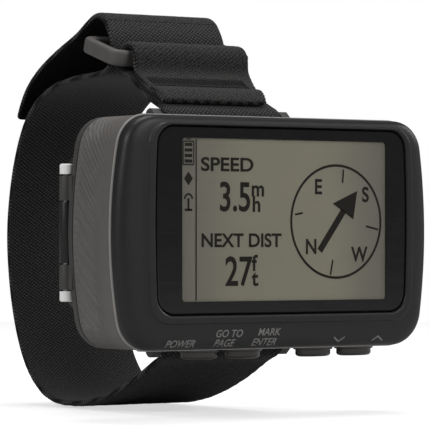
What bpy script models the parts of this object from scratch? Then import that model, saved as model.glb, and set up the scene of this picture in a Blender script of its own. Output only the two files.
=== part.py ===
"""Wrist GPS unit: a landscape screen in a gasketed case, with keys below and a strap behind.

Built in its own frame: X to the right of the screen, Y from the front face to the back, Z up,
with zero at the middle of the front face. The last step stands it on the ground plane.
"""
import math

import bmesh
import bpy
from mathutils import Matrix, Vector

MM = 0.001

# Case, seen from the front
CASE_WIDTH = 67.0 * MM
CASE_HEIGHT = 40.5 * MM
CASE_CORNER = 6.0 * MM
CASE_SIDE_RADIUS = 84.0 * MM
WALL = 1.4 * MM
GAP = 0.3 * MM

# Case, from front to back
BEZEL_DEPTH = 3.4 * MM
BEZEL_SHOULDER = 2.4 * MM
HOUSING_DEPTH = 11.8 * MM
REBATE = 0.9 * MM
GASKET_WIDTH = 0.7 * MM
COVER_THICKNESS = 2.4 * MM

# Window
WINDOW_WIDTH = 54.5 * MM
WINDOW_HEIGHT = 32.8 * MM
WINDOW_CORNER = 3.5 * MM
WINDOW_RIGHT = 0.8 * MM
WINDOW_UP = 2.1 * MM
LEDGE_WIDTH = 2.6 * MM
LENS_SET_BACK = 0.3 * MM
LENS_THICKNESS = 1.2 * MM
LENS_SEAL_THICKNESS = 0.3 * MM
LEDGE_THICKNESS = 1.0 * MM

# Display stack and boards
DISPLAY_WIDTH = 48.6 * MM
DISPLAY_HEIGHT = 31.0 * MM
DISPLAY_THICKNESS = 1.5 * MM
BACKLIGHT_THICKNESS = 0.6 * MM
BOARD_THICKNESS = 0.8 * MM
BOARD_MARGIN = 0.5 * MM
CHIP_HEIGHT = 0.8 * MM
ANTENNA_SIZE = 10.0 * MM
ANTENNA_THICKNESS = 4.0 * MM

# Case screws, in bosses at the corners
BOSS_RADIUS = 2.2 * MM
BOSS_OVERLAP = 0.45 * MM
BOSS_ANGLE = math.radians(20.0)
BOSS_START = 5.2 * MM
SCREW_RADIUS = 0.8 * MM
SCREW_HEAD_RADIUS = 1.6 * MM
SCREW_HEAD_HEIGHT = 0.9 * MM
SCREW_LENGTH = 8.6 * MM

# Keys on the bottom side
KEY_WIDTH = 8.0 * MM
KEY_LENGTH = 5.0 * MM
KEY_DEPTH = 9.0 * MM
KEY_PROUD = 2.0 * MM
POWER_KEY_PROUD = 0.4 * MM
KEY_TRAVEL = 0.6 * MM
KEY_FLANGE_WIDTH = 8.8 * MM
KEY_FLANGE_LENGTH = 6.8 * MM
KEY_FLANGE_THICKNESS = 0.6 * MM
KEY_GASKET_THICKNESS = 0.5 * MM
PLUNGER_HEIGHT = 0.3 * MM
PLUNGER_RADIUS = 1.2 * MM
DOME_RADIUS = 2.0 * MM
DOME_HEIGHT = 0.5 * MM
DOME_MARGIN = 1.0 * MM
KEY_PLACES = {
    "power_key": -20.7 * MM,
    "page_key": -11.5 * MM,
    "enter_key": -2.3 * MM,
    "down_key": 13.4 * MM,
    "up_key": 22.6 * MM,
}

# Battery bay: two AAA cells side by side
CELL_RADIUS = 5.25 * MM
CELL_LENGTH = 43.3 * MM
CELL_NUB = 1.2 * MM
CELL_NUB_RADIUS = 1.9 * MM
CELL_SPACING = 11.2 * MM
BAY_FROM_HINGE = 26.7 * MM
BAY_END_ROOM = 0.35 * MM
CONTACT_ROOM = 1.0 * MM
SPRING_RADIUS = 2.5 * MM
TRAY_WALL = 0.8 * MM
TRAY_FLOOR = 0.6 * MM

# Battery door, its hinge and its screw
DOOR_WIDTH = 50.2 * MM
DOOR_HEIGHT = 27.6 * MM
DOOR_CORNER = 3.0 * MM
DOOR_DEPTH = 3.5 * MM
DOOR_WALL = 1.0 * MM
DOOR_SKIN = 1.7 * MM
DOOR_SEAL_SIZE = 1.0 * MM
DOOR_TAB_REACH = 3.6 * MM
DOOR_TAB_WIDTH = 5.2 * MM
DOOR_TAB_DEPTH = 2.1 * MM
HINGE_INSET = 0.5 * MM
HINGE_BACK = 0.3 * MM
KNUCKLE_RADIUS = 1.2 * MM
KNUCKLE_CENTRE_LENGTH = 10.6 * MM
KNUCKLE_SIDE_LENGTH = 4.3 * MM
HINGE_PIN_RADIUS = 0.5 * MM
HINGE_CAP_RADIUS = 1.15 * MM
HINGE_CAP_LENGTH = 1.8 * MM
HINGE_CAP_END = 0.6 * MM
DOOR_SCREW_RADIUS = 0.8 * MM
DOOR_SCREW_HEAD_RADIUS = 1.75 * MM
DOOR_SCREW_HEAD_HEIGHT = 0.8 * MM
DOOR_SCREW_SLOT = 0.5 * MM

# Data port and its cap, on the back at the right
PORT_INSET = 8.1 * MM
PORT_Z = -8.0 * MM
PORT_WIDTH = 8.0 * MM
PORT_HEIGHT = 4.6 * MM
PORT_WALL = 0.7 * MM
PORT_DEPTH = 8.0 * MM
CAP_WIDTH = 8.6 * MM
CAP_HEIGHT = 9.2 * MM
CAP_CORNER = 1.6 * MM
CAP_THICKNESS = 1.2 * MM
CAP_PLUG_DEPTH = 0.9 * MM
CAP_PLUG_GAP = 0.6 * MM

# Strap, its bars and its ring
STRAP_WIDTH = 25.4 * MM
STRAP_THICKNESS = 1.2 * MM
STRAP_BAR_RADIUS = 0.75 * MM
STRAP_BAR_BEHIND = 1.2 * MM
STRAP_BAR_ABOVE = 0.35 * MM
LUG_THICKNESS = 1.8 * MM
LUG_RADIUS = 1.6 * MM
LUG_SIDE_GAP = 0.4 * MM
BAR_SINK = 1.5 * MM
RING_BEHIND_BAR = 11.4 * MM
RING_HEIGHT_SHARE = 1.54
RING_TILT = math.radians(17.0)
RING_REACH = 10.3 * MM
RING_BAR = 1.9 * MM
RING_SIDE_GAP = 0.85 * MM
RING_LEFT = 0.45 * MM
RING_HEIGHT = 2.9 * MM
RING_CORNER = 2.6 * MM
RING_EDGE = 0.35 * MM

CORNER_STEPS = 6
SIDE_STEPS = 4
ROUND = 24
STRAIGHT = 10.0  # bulge radius in metres of a side that reads as straight

COLOURS = {
    "black shell": ("2a2a2b", 0.45, 0.0),
    "grey shell": ("5b5855", 0.6, 0.0),
    "key metal": ("6a6765", 0.35, 0.8),
    "lens": ("141414", 0.1, 0.0),
    "display": ("757263", 0.4, 0.0),
    "white plastic": ("f0f0ee", 0.4, 0.0),
    "board": ("1f5a34", 0.5, 0.0),
    "chip": ("18181a", 0.5, 0.0),
    "ceramic": ("c9c2ae", 0.5, 0.0),
    "steel": ("b8b8bc", 0.3, 1.0),
    "rubber": ("1b1b1c", 0.8, 0.0),
    "cell": ("3c5f8a", 0.35, 0.2),
    "strap": ("18181a", 0.95, 0.0),
    "ring": ("5d5a5b", 0.4, 0.0),
}


# Shapes

def outline(half_width, half_height, corner, bulge=STRAIGHT):
    """Closed loop of (x, z) points: a rounded rectangle whose short sides are arcs of radius bulge."""
    centre_x = half_width - bulge
    corner_z = half_height - corner
    corner_x = centre_x + math.sqrt((bulge - corner) ** 2 - corner_z ** 2)
    side_angle = math.atan2(corner_z, corner_x - centre_x)
    quarter = []
    for step in range(SIDE_STEPS):
        angle = side_angle * step / SIDE_STEPS
        quarter.append((centre_x + bulge * math.cos(angle), bulge * math.sin(angle)))
    for step in range(CORNER_STEPS + 1):
        angle = side_angle + (math.pi / 2 - side_angle) * step / CORNER_STEPS
        quarter.append((corner_x + corner * math.cos(angle), corner_z + corner * math.sin(angle)))
    upper_left = [(-x, z) for x, z in reversed(quarter)]
    lower_left = [(-x, -z) for x, z in quarter[1:]]
    lower_right = [(x, -z) for x, z in reversed(quarter[1:])]
    return quarter + upper_left + lower_left + lower_right


def case_outline(inset):
    """The case's outline, moved in by inset."""
    return outline(CASE_WIDTH / 2 - inset, CASE_HEIGHT / 2 - inset, CASE_CORNER - inset,
                   CASE_SIDE_RADIUS - inset)


def case_corner():
    """Centre of the case's upper right corner arc."""
    corner_z = CASE_HEIGHT / 2 - CASE_CORNER
    reach = CASE_SIDE_RADIUS - CASE_CORNER
    return CASE_WIDTH / 2 - CASE_SIDE_RADIUS + math.sqrt(reach ** 2 - corner_z ** 2), corner_z


def oval(half_x, half_y, count=ROUND):
    """Closed loop of (x, y) points on an ellipse."""
    turn = 2 * math.pi / count
    return [(half_x * math.cos(turn * i), half_y * math.sin(turn * i)) for i in range(count)]


def at_depth(loop, y, centre=(0.0, 0.0)):
    """Stand a loop of (x, z) points at depth y."""
    return [Vector((x + centre[0], y, z + centre[1])) for x, z in loop]


def loft(name, loops, colour, ring=False):
    """Closed body through loops of equal count; ring joins the last loop to the first."""
    shape = bmesh.new()
    rows = [[shape.verts.new(point) for point in loop] for loop in loops]
    pairs = list(zip(rows, rows[1:]))
    if ring:
        pairs.append((rows[-1], rows[0]))
    else:
        shape.faces.new(rows[0])
        shape.faces.new(rows[-1])
    for first, second in pairs:
        for i in range(len(first)):
            after = (i + 1) % len(first)
            shape.faces.new((first[i], first[after], second[after], second[i]))
    return finish(name, shape, colour)


def finish(name, shape, colour):
    """Turn a bmesh into a named, coloured and smoothly shaded object."""
    bmesh.ops.recalc_face_normals(shape, faces=shape.faces)
    mesh = bpy.data.meshes.new(name)
    shape.to_mesh(mesh)
    shape.free()
    mesh.shade_smooth()
    mesh.set_sharp_from_angle(angle=math.radians(35))
    mesh.materials.append(paint(colour))
    piece = bpy.data.objects.new(name, mesh)
    bpy.context.collection.objects.link(piece)
    return piece


def paint(colour):
    """Principled material for one of the COLOURS, made once."""
    made = bpy.data.materials.get(colour)
    if made:
        return made
    code, roughness, metallic = COLOURS[colour]
    made = bpy.data.materials.new(colour)
    made.use_nodes = True
    shader = made.node_tree.nodes["Principled BSDF"]
    channels = [(int(code[i:i + 2], 16) / 255) ** 2.2 for i in (0, 2, 4)]
    shader.inputs["Base Color"].default_value = (*channels, 1.0)
    shader.inputs["Roughness"].default_value = roughness
    shader.inputs["Metallic"].default_value = metallic
    return made


def block(name, low, high, colour):
    """Box between two corners."""
    shape = bmesh.new()
    bmesh.ops.create_cube(shape, size=1.0)
    size = Vector(high) - Vector(low)
    centre = (Vector(high) + Vector(low)) / 2
    bmesh.ops.transform(shape, matrix=Matrix.Translation(centre) @ Matrix.Diagonal((*size, 1.0)),
                        verts=shape.verts)
    return finish(name, shape, colour)


def turned(name, profile, start, axis, colour, count=ROUND):
    """Solid turned about axis from start; profile is a list of (distance, radius)."""
    turn = Vector((0, 0, 1)).rotation_difference(Vector(axis)).to_matrix()
    loops = []
    for distance, radius in profile:
        circle = [turn @ Vector((x, y, distance)) + Vector(start) for x, y in oval(radius, radius, count)]
        loops.append(circle)
    return loft(name, loops, colour)


def rod(name, start, axis, length, radius, colour, count=ROUND):
    """Plain cylinder from start along axis."""
    return turned(name, [(0, radius), (length, radius)], start, axis, colour, count)


def smooth_path(points, steps=4):
    """Even-handed curve through all the (y, z) points."""
    ends = [points[0]] + list(points) + [points[-1]]
    path = []
    for p0, p1, p2, p3 in zip(ends, ends[1:], ends[2:], ends[3:]):
        for step in range(steps):
            t = step / steps
            path.append(tuple(
                0.5 * (2 * b + (c - a) * t + (2 * a - 5 * b + 4 * c - d) * t * t
                       + (3 * b - a - 3 * c + d) * t ** 3)
                for a, b, c, d in zip(p0, p1, p2, p3)))
    path.append(tuple(points[-1]))
    return path


def arc(centre, radius, start, end, count):
    """Points (y, z) on an arc, angles in degrees from +Y towards +Z."""
    angles = [math.radians(start + (end - start) * i / count) for i in range(count + 1)]
    return [(centre[0] + radius * math.cos(a), centre[1] + radius * math.sin(a)) for a in angles]


def ribbon(name, path, colour="strap"):
    """Strap of even thickness that follows a path of (y, z) points."""
    half = STRAP_THICKNESS / 2
    wide = STRAP_WIDTH / 2
    loops = []
    for i, point in enumerate(path):
        before, after = path[max(i - 1, 0)], path[min(i + 1, len(path) - 1)]
        along = Vector((after[0] - before[0], after[1] - before[1])).normalized()
        side = Vector((-along.y, along.x)) * half
        left, right = Vector(point) + side, Vector(point) - side
        loops.append([Vector((x, p.x, p.y)) for x, p in
                      ((-wide, left), (wide, left), (wide, right), (-wide, right))])
    return loft(name, loops, colour)


def combine(piece, tool, operation):
    """Apply one Boolean with a tool, and remove the tool."""
    modifier = piece.modifiers.new("combine", "BOOLEAN")
    modifier.operation = operation
    modifier.object = tool
    graph = bpy.context.evaluated_depsgraph_get()
    mesh = bpy.data.meshes.new_from_object(piece.evaluated_get(graph))
    piece.modifiers.remove(modifier)
    piece.data = mesh
    bpy.data.objects.remove(tool)


def cut(piece, tool):
    combine(piece, tool, "DIFFERENCE")


def join(piece, tool):
    combine(piece, tool, "UNION")


def hang(piece, pivot):
    """Put a piece's origin on its joint's axis."""
    piece.data.transform(Matrix.Translation(-Vector(pivot)))
    piece.location = pivot
    return piece


# Depths that follow from the driving dimensions

HOUSING_START = BEZEL_DEPTH + GAP
HOUSING_END = HOUSING_START + HOUSING_DEPTH
COVER_START = HOUSING_END + GAP
COVER_END = COVER_START + COVER_THICKNESS
WINDOW_CENTRE = (WINDOW_RIGHT, WINDOW_UP)
LEDGE_FRONT = BEZEL_DEPTH - LEDGE_THICKNESS
SEAL_START = LENS_SET_BACK + LENS_THICKNESS + GAP
DISPLAY_START = BEZEL_DEPTH + GAP
BACKLIGHT_START = DISPLAY_START + DISPLAY_THICKNESS + GAP
BOARD_START = BACKLIGHT_START + BACKLIGHT_THICKNESS + GAP
CHIP_START = BOARD_START + BOARD_THICKNESS + GAP
TRAY_START = CHIP_START + CHIP_HEIGHT + GAP
CELL_Y = TRAY_START + TRAY_FLOOR + GAP + CELL_RADIUS
DOOR_START = COVER_END + GAP
DOOR_END = DOOR_START + DOOR_DEPTH
HINGE_X = HINGE_INSET - CASE_WIDTH / 2
HINGE_Y = COVER_END + HINGE_BACK
BAY_CENTRE = HINGE_X + BAY_FROM_HINGE
PORT_X = CASE_WIDTH / 2 - PORT_INSET
INNER_FLOOR = -CASE_HEIGHT / 2 + WALL
KEY_GASKET_Z = INNER_FLOOR + GAP
KEY_FLANGE_Z = KEY_GASKET_Z + KEY_GASKET_THICKNESS + GAP
PLUNGER_TOP = KEY_FLANGE_Z + KEY_FLANGE_THICKNESS + PLUNGER_HEIGHT
DOME_Z = PLUNGER_TOP + KEY_TRAVEL + GAP
KEY_BOARD_Z = DOME_Z + DOME_HEIGHT + GAP
CELL_TOTAL = CELL_LENGTH + CELL_NUB
BAY_HALF_LENGTH = CELL_TOTAL / 2 + BAY_END_ROOM
BAY_HALF_HEIGHT = CELL_SPACING / 2 + CELL_RADIUS + GAP
DOOR_CENTRE = BAY_CENTRE
SCREW_X = DOOR_CENTRE + DOOR_WIDTH / 2 + DOOR_SCREW_HEAD_RADIUS - GAP / 2
STRAP_BAR_Y = COVER_END + STRAP_BAR_BEHIND
STRAP_BAR_Z = CASE_HEIGHT / 2 + STRAP_BAR_ABOVE
RING_Y = STRAP_BAR_Y + RING_BEHIND_BAR
RING_Z = STRAP_BAR_Z * RING_HEIGHT_SHARE
EYE_RADIUS = STRAP_BAR_RADIUS + GAP + STRAP_THICKNESS / 2
LUG_INNER = STRAP_WIDTH / 2 + LUG_SIDE_GAP


def corner_places(radius):
    """Centres on the four corners' diagonals, radius out from each corner arc's centre."""
    x, z = case_corner()
    x += radius * math.cos(BOSS_ANGLE)
    z += radius * math.sin(BOSS_ANGLE)
    return [(x, z), (-x, z), (-x, -z), (x, -z)]


def boss_places():
    return corner_places(CASE_CORNER - WALL - BOSS_RADIUS + BOSS_OVERLAP)


# Pieces

def make_bezel():
    """Front shell: sloped shoulder, raised rim, window pocket with a ledge behind it."""
    def between(share, y):
        half_width = CASE_WIDTH / 2 + (WINDOW_WIDTH - CASE_WIDTH) / 2 * share
        half_height = CASE_HEIGHT / 2 + (WINDOW_HEIGHT - CASE_HEIGHT) / 2 * share
        corner = CASE_CORNER + (WINDOW_CORNER - CASE_CORNER) * share
        bulge = CASE_SIDE_RADIUS * (1 + 2 * share)
        return at_depth(outline(half_width, half_height, corner, bulge), y,
                        (WINDOW_RIGHT * share, WINDOW_UP * share))

    ledge = outline(WINDOW_WIDTH / 2 - LEDGE_WIDTH, WINDOW_HEIGHT / 2 - LEDGE_WIDTH / 2,
                    WINDOW_CORNER - LEDGE_WIDTH / 2)
    window = outline(WINDOW_WIDTH / 2, WINDOW_HEIGHT / 2, WINDOW_CORNER, CASE_SIDE_RADIUS * 3)
    loops = [
        between(0.0, BEZEL_DEPTH),
        between(0.0, BEZEL_SHOULDER),
        between(0.14, BEZEL_SHOULDER * 0.55),
        between(0.4, BEZEL_SHOULDER * 0.25),
        between(0.72, BEZEL_SHOULDER * 0.1),
        between(0.8, 0.0),
        between(0.96, 0.0),
        at_depth(window, 0.1 * MM, WINDOW_CENTRE),
        at_depth(window, LEDGE_FRONT, WINDOW_CENTRE),
        at_depth(ledge, LEDGE_FRONT, WINDOW_CENTRE),
        at_depth(ledge, BEZEL_DEPTH, WINDOW_CENTRE),
    ]
    loft("front_bezel", loops, "black shell", ring=True)


def make_housing():
    """Middle housing: a band with a rebate for a gasket at each end, screw bosses and key holes."""
    half = WALL / 2
    loops = [
        at_depth(case_outline(0), HOUSING_START),
        at_depth(case_outline(0), HOUSING_END),
        at_depth(case_outline(half), HOUSING_END),
        at_depth(case_outline(half), HOUSING_END - REBATE),
        at_depth(case_outline(WALL), HOUSING_END - REBATE),
        at_depth(case_outline(WALL), HOUSING_START + REBATE),
        at_depth(case_outline(half), HOUSING_START + REBATE),
        at_depth(case_outline(half), HOUSING_START),
    ]
    housing = loft("mid_housing", loops, "grey shell", ring=True)
    boss_end = HOUSING_END - REBATE
    for x, z in boss_places():
        join(housing, rod("boss", (x, BOSS_START, z), (0, 1, 0), boss_end - BOSS_START, BOSS_RADIUS,
                          "grey shell"))
    for x, z in boss_places():
        depth = boss_end - BOSS_START - WALL
        cut(housing, rod("hole", (x, boss_end - depth, z), (0, 1, 0), depth + GAP,
                         SCREW_RADIUS + GAP, "grey shell"))
    for x in KEY_PLACES.values():
        cut(housing, key_hole(x, -CASE_HEIGHT / 2 - WALL, INNER_FLOOR + WALL))


def key_hole(x, low, high):
    """Cutter for one key's hole."""
    ring = oval(KEY_WIDTH / 2 + GAP, KEY_LENGTH / 2 + GAP)
    loops = [[Vector((x + a, KEY_DEPTH + b, z)) for a, b in ring] for z in (low, high)]
    return loft("key_hole", loops, "grey shell")


def make_gasket(name, start, end):
    """Rubber ring inside the case's wall, across a seam."""
    outer, inner = case_outline(WALL / 2 + GAP), case_outline(WALL / 2 + GAP + GASKET_WIDTH)
    loops = [at_depth(outer, start), at_depth(outer, end), at_depth(inner, end), at_depth(inner, start)]
    loft(name, loops, "rubber", ring=True)


def make_window():
    """Lens with the adhesive frame that holds it on the ledge."""
    bulge = CASE_SIDE_RADIUS * 3
    lens = [outline(WINDOW_WIDTH / 2 - GAP - inset, WINDOW_HEIGHT / 2 - GAP - inset,
                    WINDOW_CORNER - GAP - inset, bulge) for inset in (0.25 * MM, 0.0)]
    lens_end = LENS_SET_BACK + LENS_THICKNESS
    loft("lens_window", [at_depth(lens[0], LENS_SET_BACK, WINDOW_CENTRE),
                         at_depth(lens[1], LENS_SET_BACK + 0.2 * MM, WINDOW_CENTRE),
                         at_depth(lens[1], lens_end, WINDOW_CENTRE)], "lens")
    seal_inner = outline(WINDOW_WIDTH / 2 - LEDGE_WIDTH, WINDOW_HEIGHT / 2 - LEDGE_WIDTH / 2,
                         WINDOW_CORNER - LEDGE_WIDTH / 2)
    seal_outer = outline(WINDOW_WIDTH / 2 - GAP, WINDOW_HEIGHT / 2 - GAP, WINDOW_CORNER - GAP, bulge)
    seal_end = SEAL_START + LENS_SEAL_THICKNESS
    loops = [(seal_outer, SEAL_START), (seal_outer, seal_end), (seal_inner, seal_end),
             (seal_inner, SEAL_START)]
    loft("lens_seal", [at_depth(loop, y, WINDOW_CENTRE) for loop, y in loops], "rubber", ring=True)


def plate(name, half_x, half_z, start, thickness, colour, centre=(0.0, 0.0)):
    """Flat part that stands parallel to the screen."""
    return block(name, (centre[0] - half_x, start, centre[1] - half_z),
                 (centre[0] + half_x, start + thickness, centre[1] + half_z), colour)


def make_electronics():
    """Display stack, main board and what is soldered to it."""
    plate("lcd_module", DISPLAY_WIDTH / 2, DISPLAY_HEIGHT / 2, DISPLAY_START, DISPLAY_THICKNESS,
          "display", WINDOW_CENTRE)
    plate("backlight", DISPLAY_WIDTH / 2 - 1 * MM, DISPLAY_HEIGHT / 2 - 1 * MM, BACKLIGHT_START,
          BACKLIGHT_THICKNESS, "white plastic", WINDOW_CENTRE)
    inset = WALL + BOARD_MARGIN
    low_edge = CASE_HEIGHT / 2 + KEY_BOARD_Z
    board_outline = outline(CASE_WIDTH / 2 - inset, CASE_HEIGHT / 2 - low_edge, CASE_CORNER - inset,
                            CASE_SIDE_RADIUS - inset)
    board = loft("main_board", [at_depth(board_outline, BOARD_START),
                                at_depth(board_outline, BOARD_START + BOARD_THICKNESS)], "board")
    for x, z in boss_places():
        cut(board, rod("boss_notch", (x, BOARD_START - WALL, z), (0, 1, 0), BOARD_THICKNESS + 2 * WALL,
                       BOSS_RADIUS + GAP, "board"))
    chips = {
        "shield_can": (-12 * MM, 2 * MM, 7 * MM, 5.5 * MM, "steel"),
        "processor": (3 * MM, 3 * MM, 4.5 * MM, 4.5 * MM, "chip"),
        "memory_chip": (12.5 * MM, 2 * MM, 3 * MM, 4 * MM, "chip"),
        "compass_sensor": (-24 * MM, 5 * MM, 1.5 * MM, 1.5 * MM, "chip"),
        "clock_crystal": (3 * MM, -5 * MM, 1.6 * MM, 1.0 * MM, "steel"),
    }
    for name, (x, z, half_x, half_z, colour) in chips.items():
        plate(name, half_x, half_z, CHIP_START, CHIP_HEIGHT, colour, (x, z))
    antenna_x = CASE_WIDTH / 2 - WALL - BOARD_MARGIN - ANTENNA_SIZE / 2 - WALL
    antenna_z = ANTENNA_SIZE / 2 + 1 * MM
    plate("patch_antenna", ANTENNA_SIZE / 2, ANTENNA_SIZE / 2, CHIP_START, ANTENNA_THICKNESS, "ceramic",
          (antenna_x, antenna_z))
    room_z = (BAY_HALF_HEIGHT + GAP + TRAY_WALL + CASE_HEIGHT / 2 - WALL) / 2
    rod("beeper", (-14 * MM, CHIP_START, room_z), (0, 1, 0), 3.0 * MM, 2.4 * MM, "chip")
    rod("backup_cell", (6 * MM, CHIP_START, room_z), (0, 1, 0), 1.6 * MM, 2.4 * MM, "steel")


def make_flex():
    """Display flex: leaves the display's side, folds back and ends at the board's front."""
    side = WINDOW_RIGHT + DISPLAY_WIDTH / 2
    start = DISPLAY_START + 0.6 * MM
    reach = side + 1.6 * MM
    path = [(side + GAP, start), (reach, start), (reach + 0.5 * MM, start + 0.5 * MM),
            (reach + 0.5 * MM, BOARD_START - 0.8 * MM), (reach, BOARD_START - GAP - 0.1 * MM),
            (side - 0.5 * MM, BOARD_START - GAP - 0.1 * MM)]
    thin = 0.1 * MM
    loops = []
    for i, point in enumerate(path):
        before, after = path[max(i - 1, 0)], path[min(i + 1, len(path) - 1)]
        along = Vector((after[0] - before[0], after[1] - before[1])).normalized()
        shift = Vector((-along.y, along.x)) * thin
        a, b = Vector(point) + shift, Vector(point) - shift
        loops.append([Vector((p.x, p.y, z)) for p, z in
                      ((a, -7 * MM), (a, 7 * MM), (b, 7 * MM), (b, -7 * MM))])
    loft("display_flex", loops, "chip")


def make_keys():
    """Keys with their flanges and plungers, the gasket under them, the domes and the key board."""
    for name, x in KEY_PLACES.items():
        proud = POWER_KEY_PROUD if name == "power_key" else KEY_PROUD
        face = -CASE_HEIGHT / 2
        half_x, half_y = KEY_WIDTH / 2, KEY_LENGTH / 2
        step = min(0.5 * MM, proud * 0.4)
        profile = [
            (PLUNGER_TOP, PLUNGER_RADIUS, PLUNGER_RADIUS),
            (PLUNGER_TOP - PLUNGER_HEIGHT, PLUNGER_RADIUS, PLUNGER_RADIUS),
            (PLUNGER_TOP - PLUNGER_HEIGHT, KEY_FLANGE_WIDTH / 2, KEY_FLANGE_LENGTH / 2),
            (KEY_FLANGE_Z, KEY_FLANGE_WIDTH / 2, KEY_FLANGE_LENGTH / 2),
            (KEY_FLANGE_Z, half_x, half_y),
            (face - step, half_x, half_y),
            (face - step, half_x - 0.4 * MM, half_y - 0.35 * MM),
            (face - proud * 0.85, half_x - 0.4 * MM, half_y - 0.35 * MM),
            (face - proud, half_x - 0.8 * MM, half_y - 0.75 * MM),
        ]
        loops = [[Vector((x + a, KEY_DEPTH + b, z)) for a, b in oval(rx, ry)] for z, rx, ry in profile]
        hang(loft(name, loops, "key metal"), (x, KEY_DEPTH, face))
        dome = rod(name.replace("key", "dome"), (x, KEY_DEPTH, DOME_Z), (0, 0, 1), DOME_HEIGHT,
                   DOME_RADIUS, "steel")
        dome.data.shade_smooth()
    low_x = min(KEY_PLACES.values()) - DOME_RADIUS - DOME_MARGIN
    high_x = max(KEY_PLACES.values()) + DOME_RADIUS + DOME_MARGIN
    half_y = KEY_FLANGE_LENGTH / 2 + 0.4 * MM
    board_front = BOARD_START + BOARD_THICKNESS + GAP
    board_back = KEY_DEPTH + half_y
    corner_x = case_corner()[0]
    gasket = block("key_gasket", (-corner_x, KEY_DEPTH - half_y, KEY_GASKET_Z),
                   (corner_x, KEY_DEPTH + half_y, KEY_GASKET_Z + KEY_GASKET_THICKNESS), "rubber")
    for x in KEY_PLACES.values():
        cut(gasket, key_hole(x, KEY_GASKET_Z - WALL, KEY_GASKET_Z + WALL))
    block("key_board", (low_x, board_front, KEY_BOARD_Z),
          (high_x, board_back, KEY_BOARD_Z + BOARD_THICKNESS), "board")


def make_cover():
    """Rear cover: chamfered plate with the battery opening, hinge knuckles and strap lugs."""
    loops = [
        at_depth(case_outline(0), COVER_START),
        at_depth(case_outline(0), COVER_START + COVER_THICKNESS * 0.55),
        at_depth(case_outline(0.6 * MM), COVER_START + COVER_THICKNESS * 0.85),
        at_depth(case_outline(1.5 * MM), COVER_END),
    ]
    cover = loft("rear_cover", loops, "grey shell")
    through = COVER_THICKNESS + 2 * WALL
    cut(cover, block("bay", (BAY_CENTRE - BAY_HALF_LENGTH, COVER_START - WALL, -BAY_HALF_HEIGHT),
                     (BAY_CENTRE + BAY_HALF_LENGTH, COVER_END + WALL, BAY_HALF_HEIGHT), "grey shell"))
    cut(cover, block("port_hole", (PORT_X - PORT_WIDTH / 2 - GAP, COVER_START - WALL,
                                   PORT_Z - PORT_HEIGHT / 2 - GAP),
                     (PORT_X + PORT_WIDTH / 2 + GAP, COVER_END + WALL, PORT_Z + PORT_HEIGHT / 2 + GAP),
                     "grey shell"))
    for x, z in boss_places():
        cut(cover, rod("hole", (x, COVER_START - WALL, z), (0, 1, 0), through, SCREW_RADIUS + GAP,
                       "grey shell"))
        cut(cover, rod("head_room", (x, COVER_END - SCREW_HEAD_HEIGHT - GAP, z), (0, 1, 0),
                       through, SCREW_HEAD_RADIUS + GAP, "grey shell"))
    cut(cover, rod("door_screw_hole", (SCREW_X, COVER_START - WALL, 0), (0, 1, 0), through,
                   DOOR_SCREW_RADIUS + GAP, "grey shell"))
    add_hinge_side(cover)
    for side in (1, -1):
        add_lugs(cover, side)


def add_hinge_side(cover):
    """Clearance for the hinge, then the two outer knuckles with their webs and pin holes."""
    side_start = KNUCKLE_CENTRE_LENGTH / 2 + GAP
    cap_end = side_start + KNUCKLE_SIDE_LENGTH + 2 * GAP + HINGE_CAP_LENGTH
    cut(cover, rod("hinge_room", (HINGE_X, HINGE_Y, -cap_end), (0, 0, 1), 2 * cap_end,
                   KNUCKLE_RADIUS + GAP, "grey shell"))
    for side in (1, -1):
        low, high = sorted((side * side_start, side * (side_start + KNUCKLE_SIDE_LENGTH)))
        join(cover, block("web", (HINGE_X - 0.3 * MM, COVER_START + 0.4 * MM, low),
                          (HINGE_X + KNUCKLE_RADIUS + 0.2 * MM, HINGE_Y, high), "grey shell"))
        join(cover, rod("knuckle", (HINGE_X, HINGE_Y, low), (0, 0, 1), high - low, KNUCKLE_RADIUS,
                        "grey shell"))
        cut(cover, rod("pin_hole", (HINGE_X, HINGE_Y, low - WALL), (0, 0, 1), high - low + 2 * WALL,
                       HINGE_PIN_RADIUS + GAP, "grey shell", 16))


def add_lugs(cover, side):
    """Room for the strap's eye on one long edge, and the two lugs that hold its bar."""
    bar_z = side * STRAP_BAR_Z
    cut(cover, rod("eye_room", (-LUG_INNER, STRAP_BAR_Y, bar_z), (1, 0, 0), 2 * LUG_INNER,
                   EYE_RADIUS + STRAP_THICKNESS / 2 + GAP, "grey shell"))
    for end in (1, -1):
        inner, outer = end * LUG_INNER, end * (LUG_INNER + LUG_THICKNESS)
        lug_loops = []
        for x in (inner, outer):
            round_end = arc((STRAP_BAR_Y, 0.0), LUG_RADIUS, 100, -60, 10)
            foot = [(COVER_START + 0.5 * MM, -3.2 * MM), (COVER_START + 0.5 * MM, -0.9 * MM)]
            lug_loops.append([Vector((x, y, bar_z + side * z)) for y, z in round_end + foot])
        join(cover, loft("lug", lug_loops, "grey shell"))
        sink = end * (LUG_INNER + BAR_SINK)
        low, high = sorted((sink, end * (LUG_INNER - WALL)))
        cut(cover, rod("bar_hole", (low, STRAP_BAR_Y, bar_z), (1, 0, 0), high - low,
                       STRAP_BAR_RADIUS + GAP, "grey shell", 16))


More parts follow.
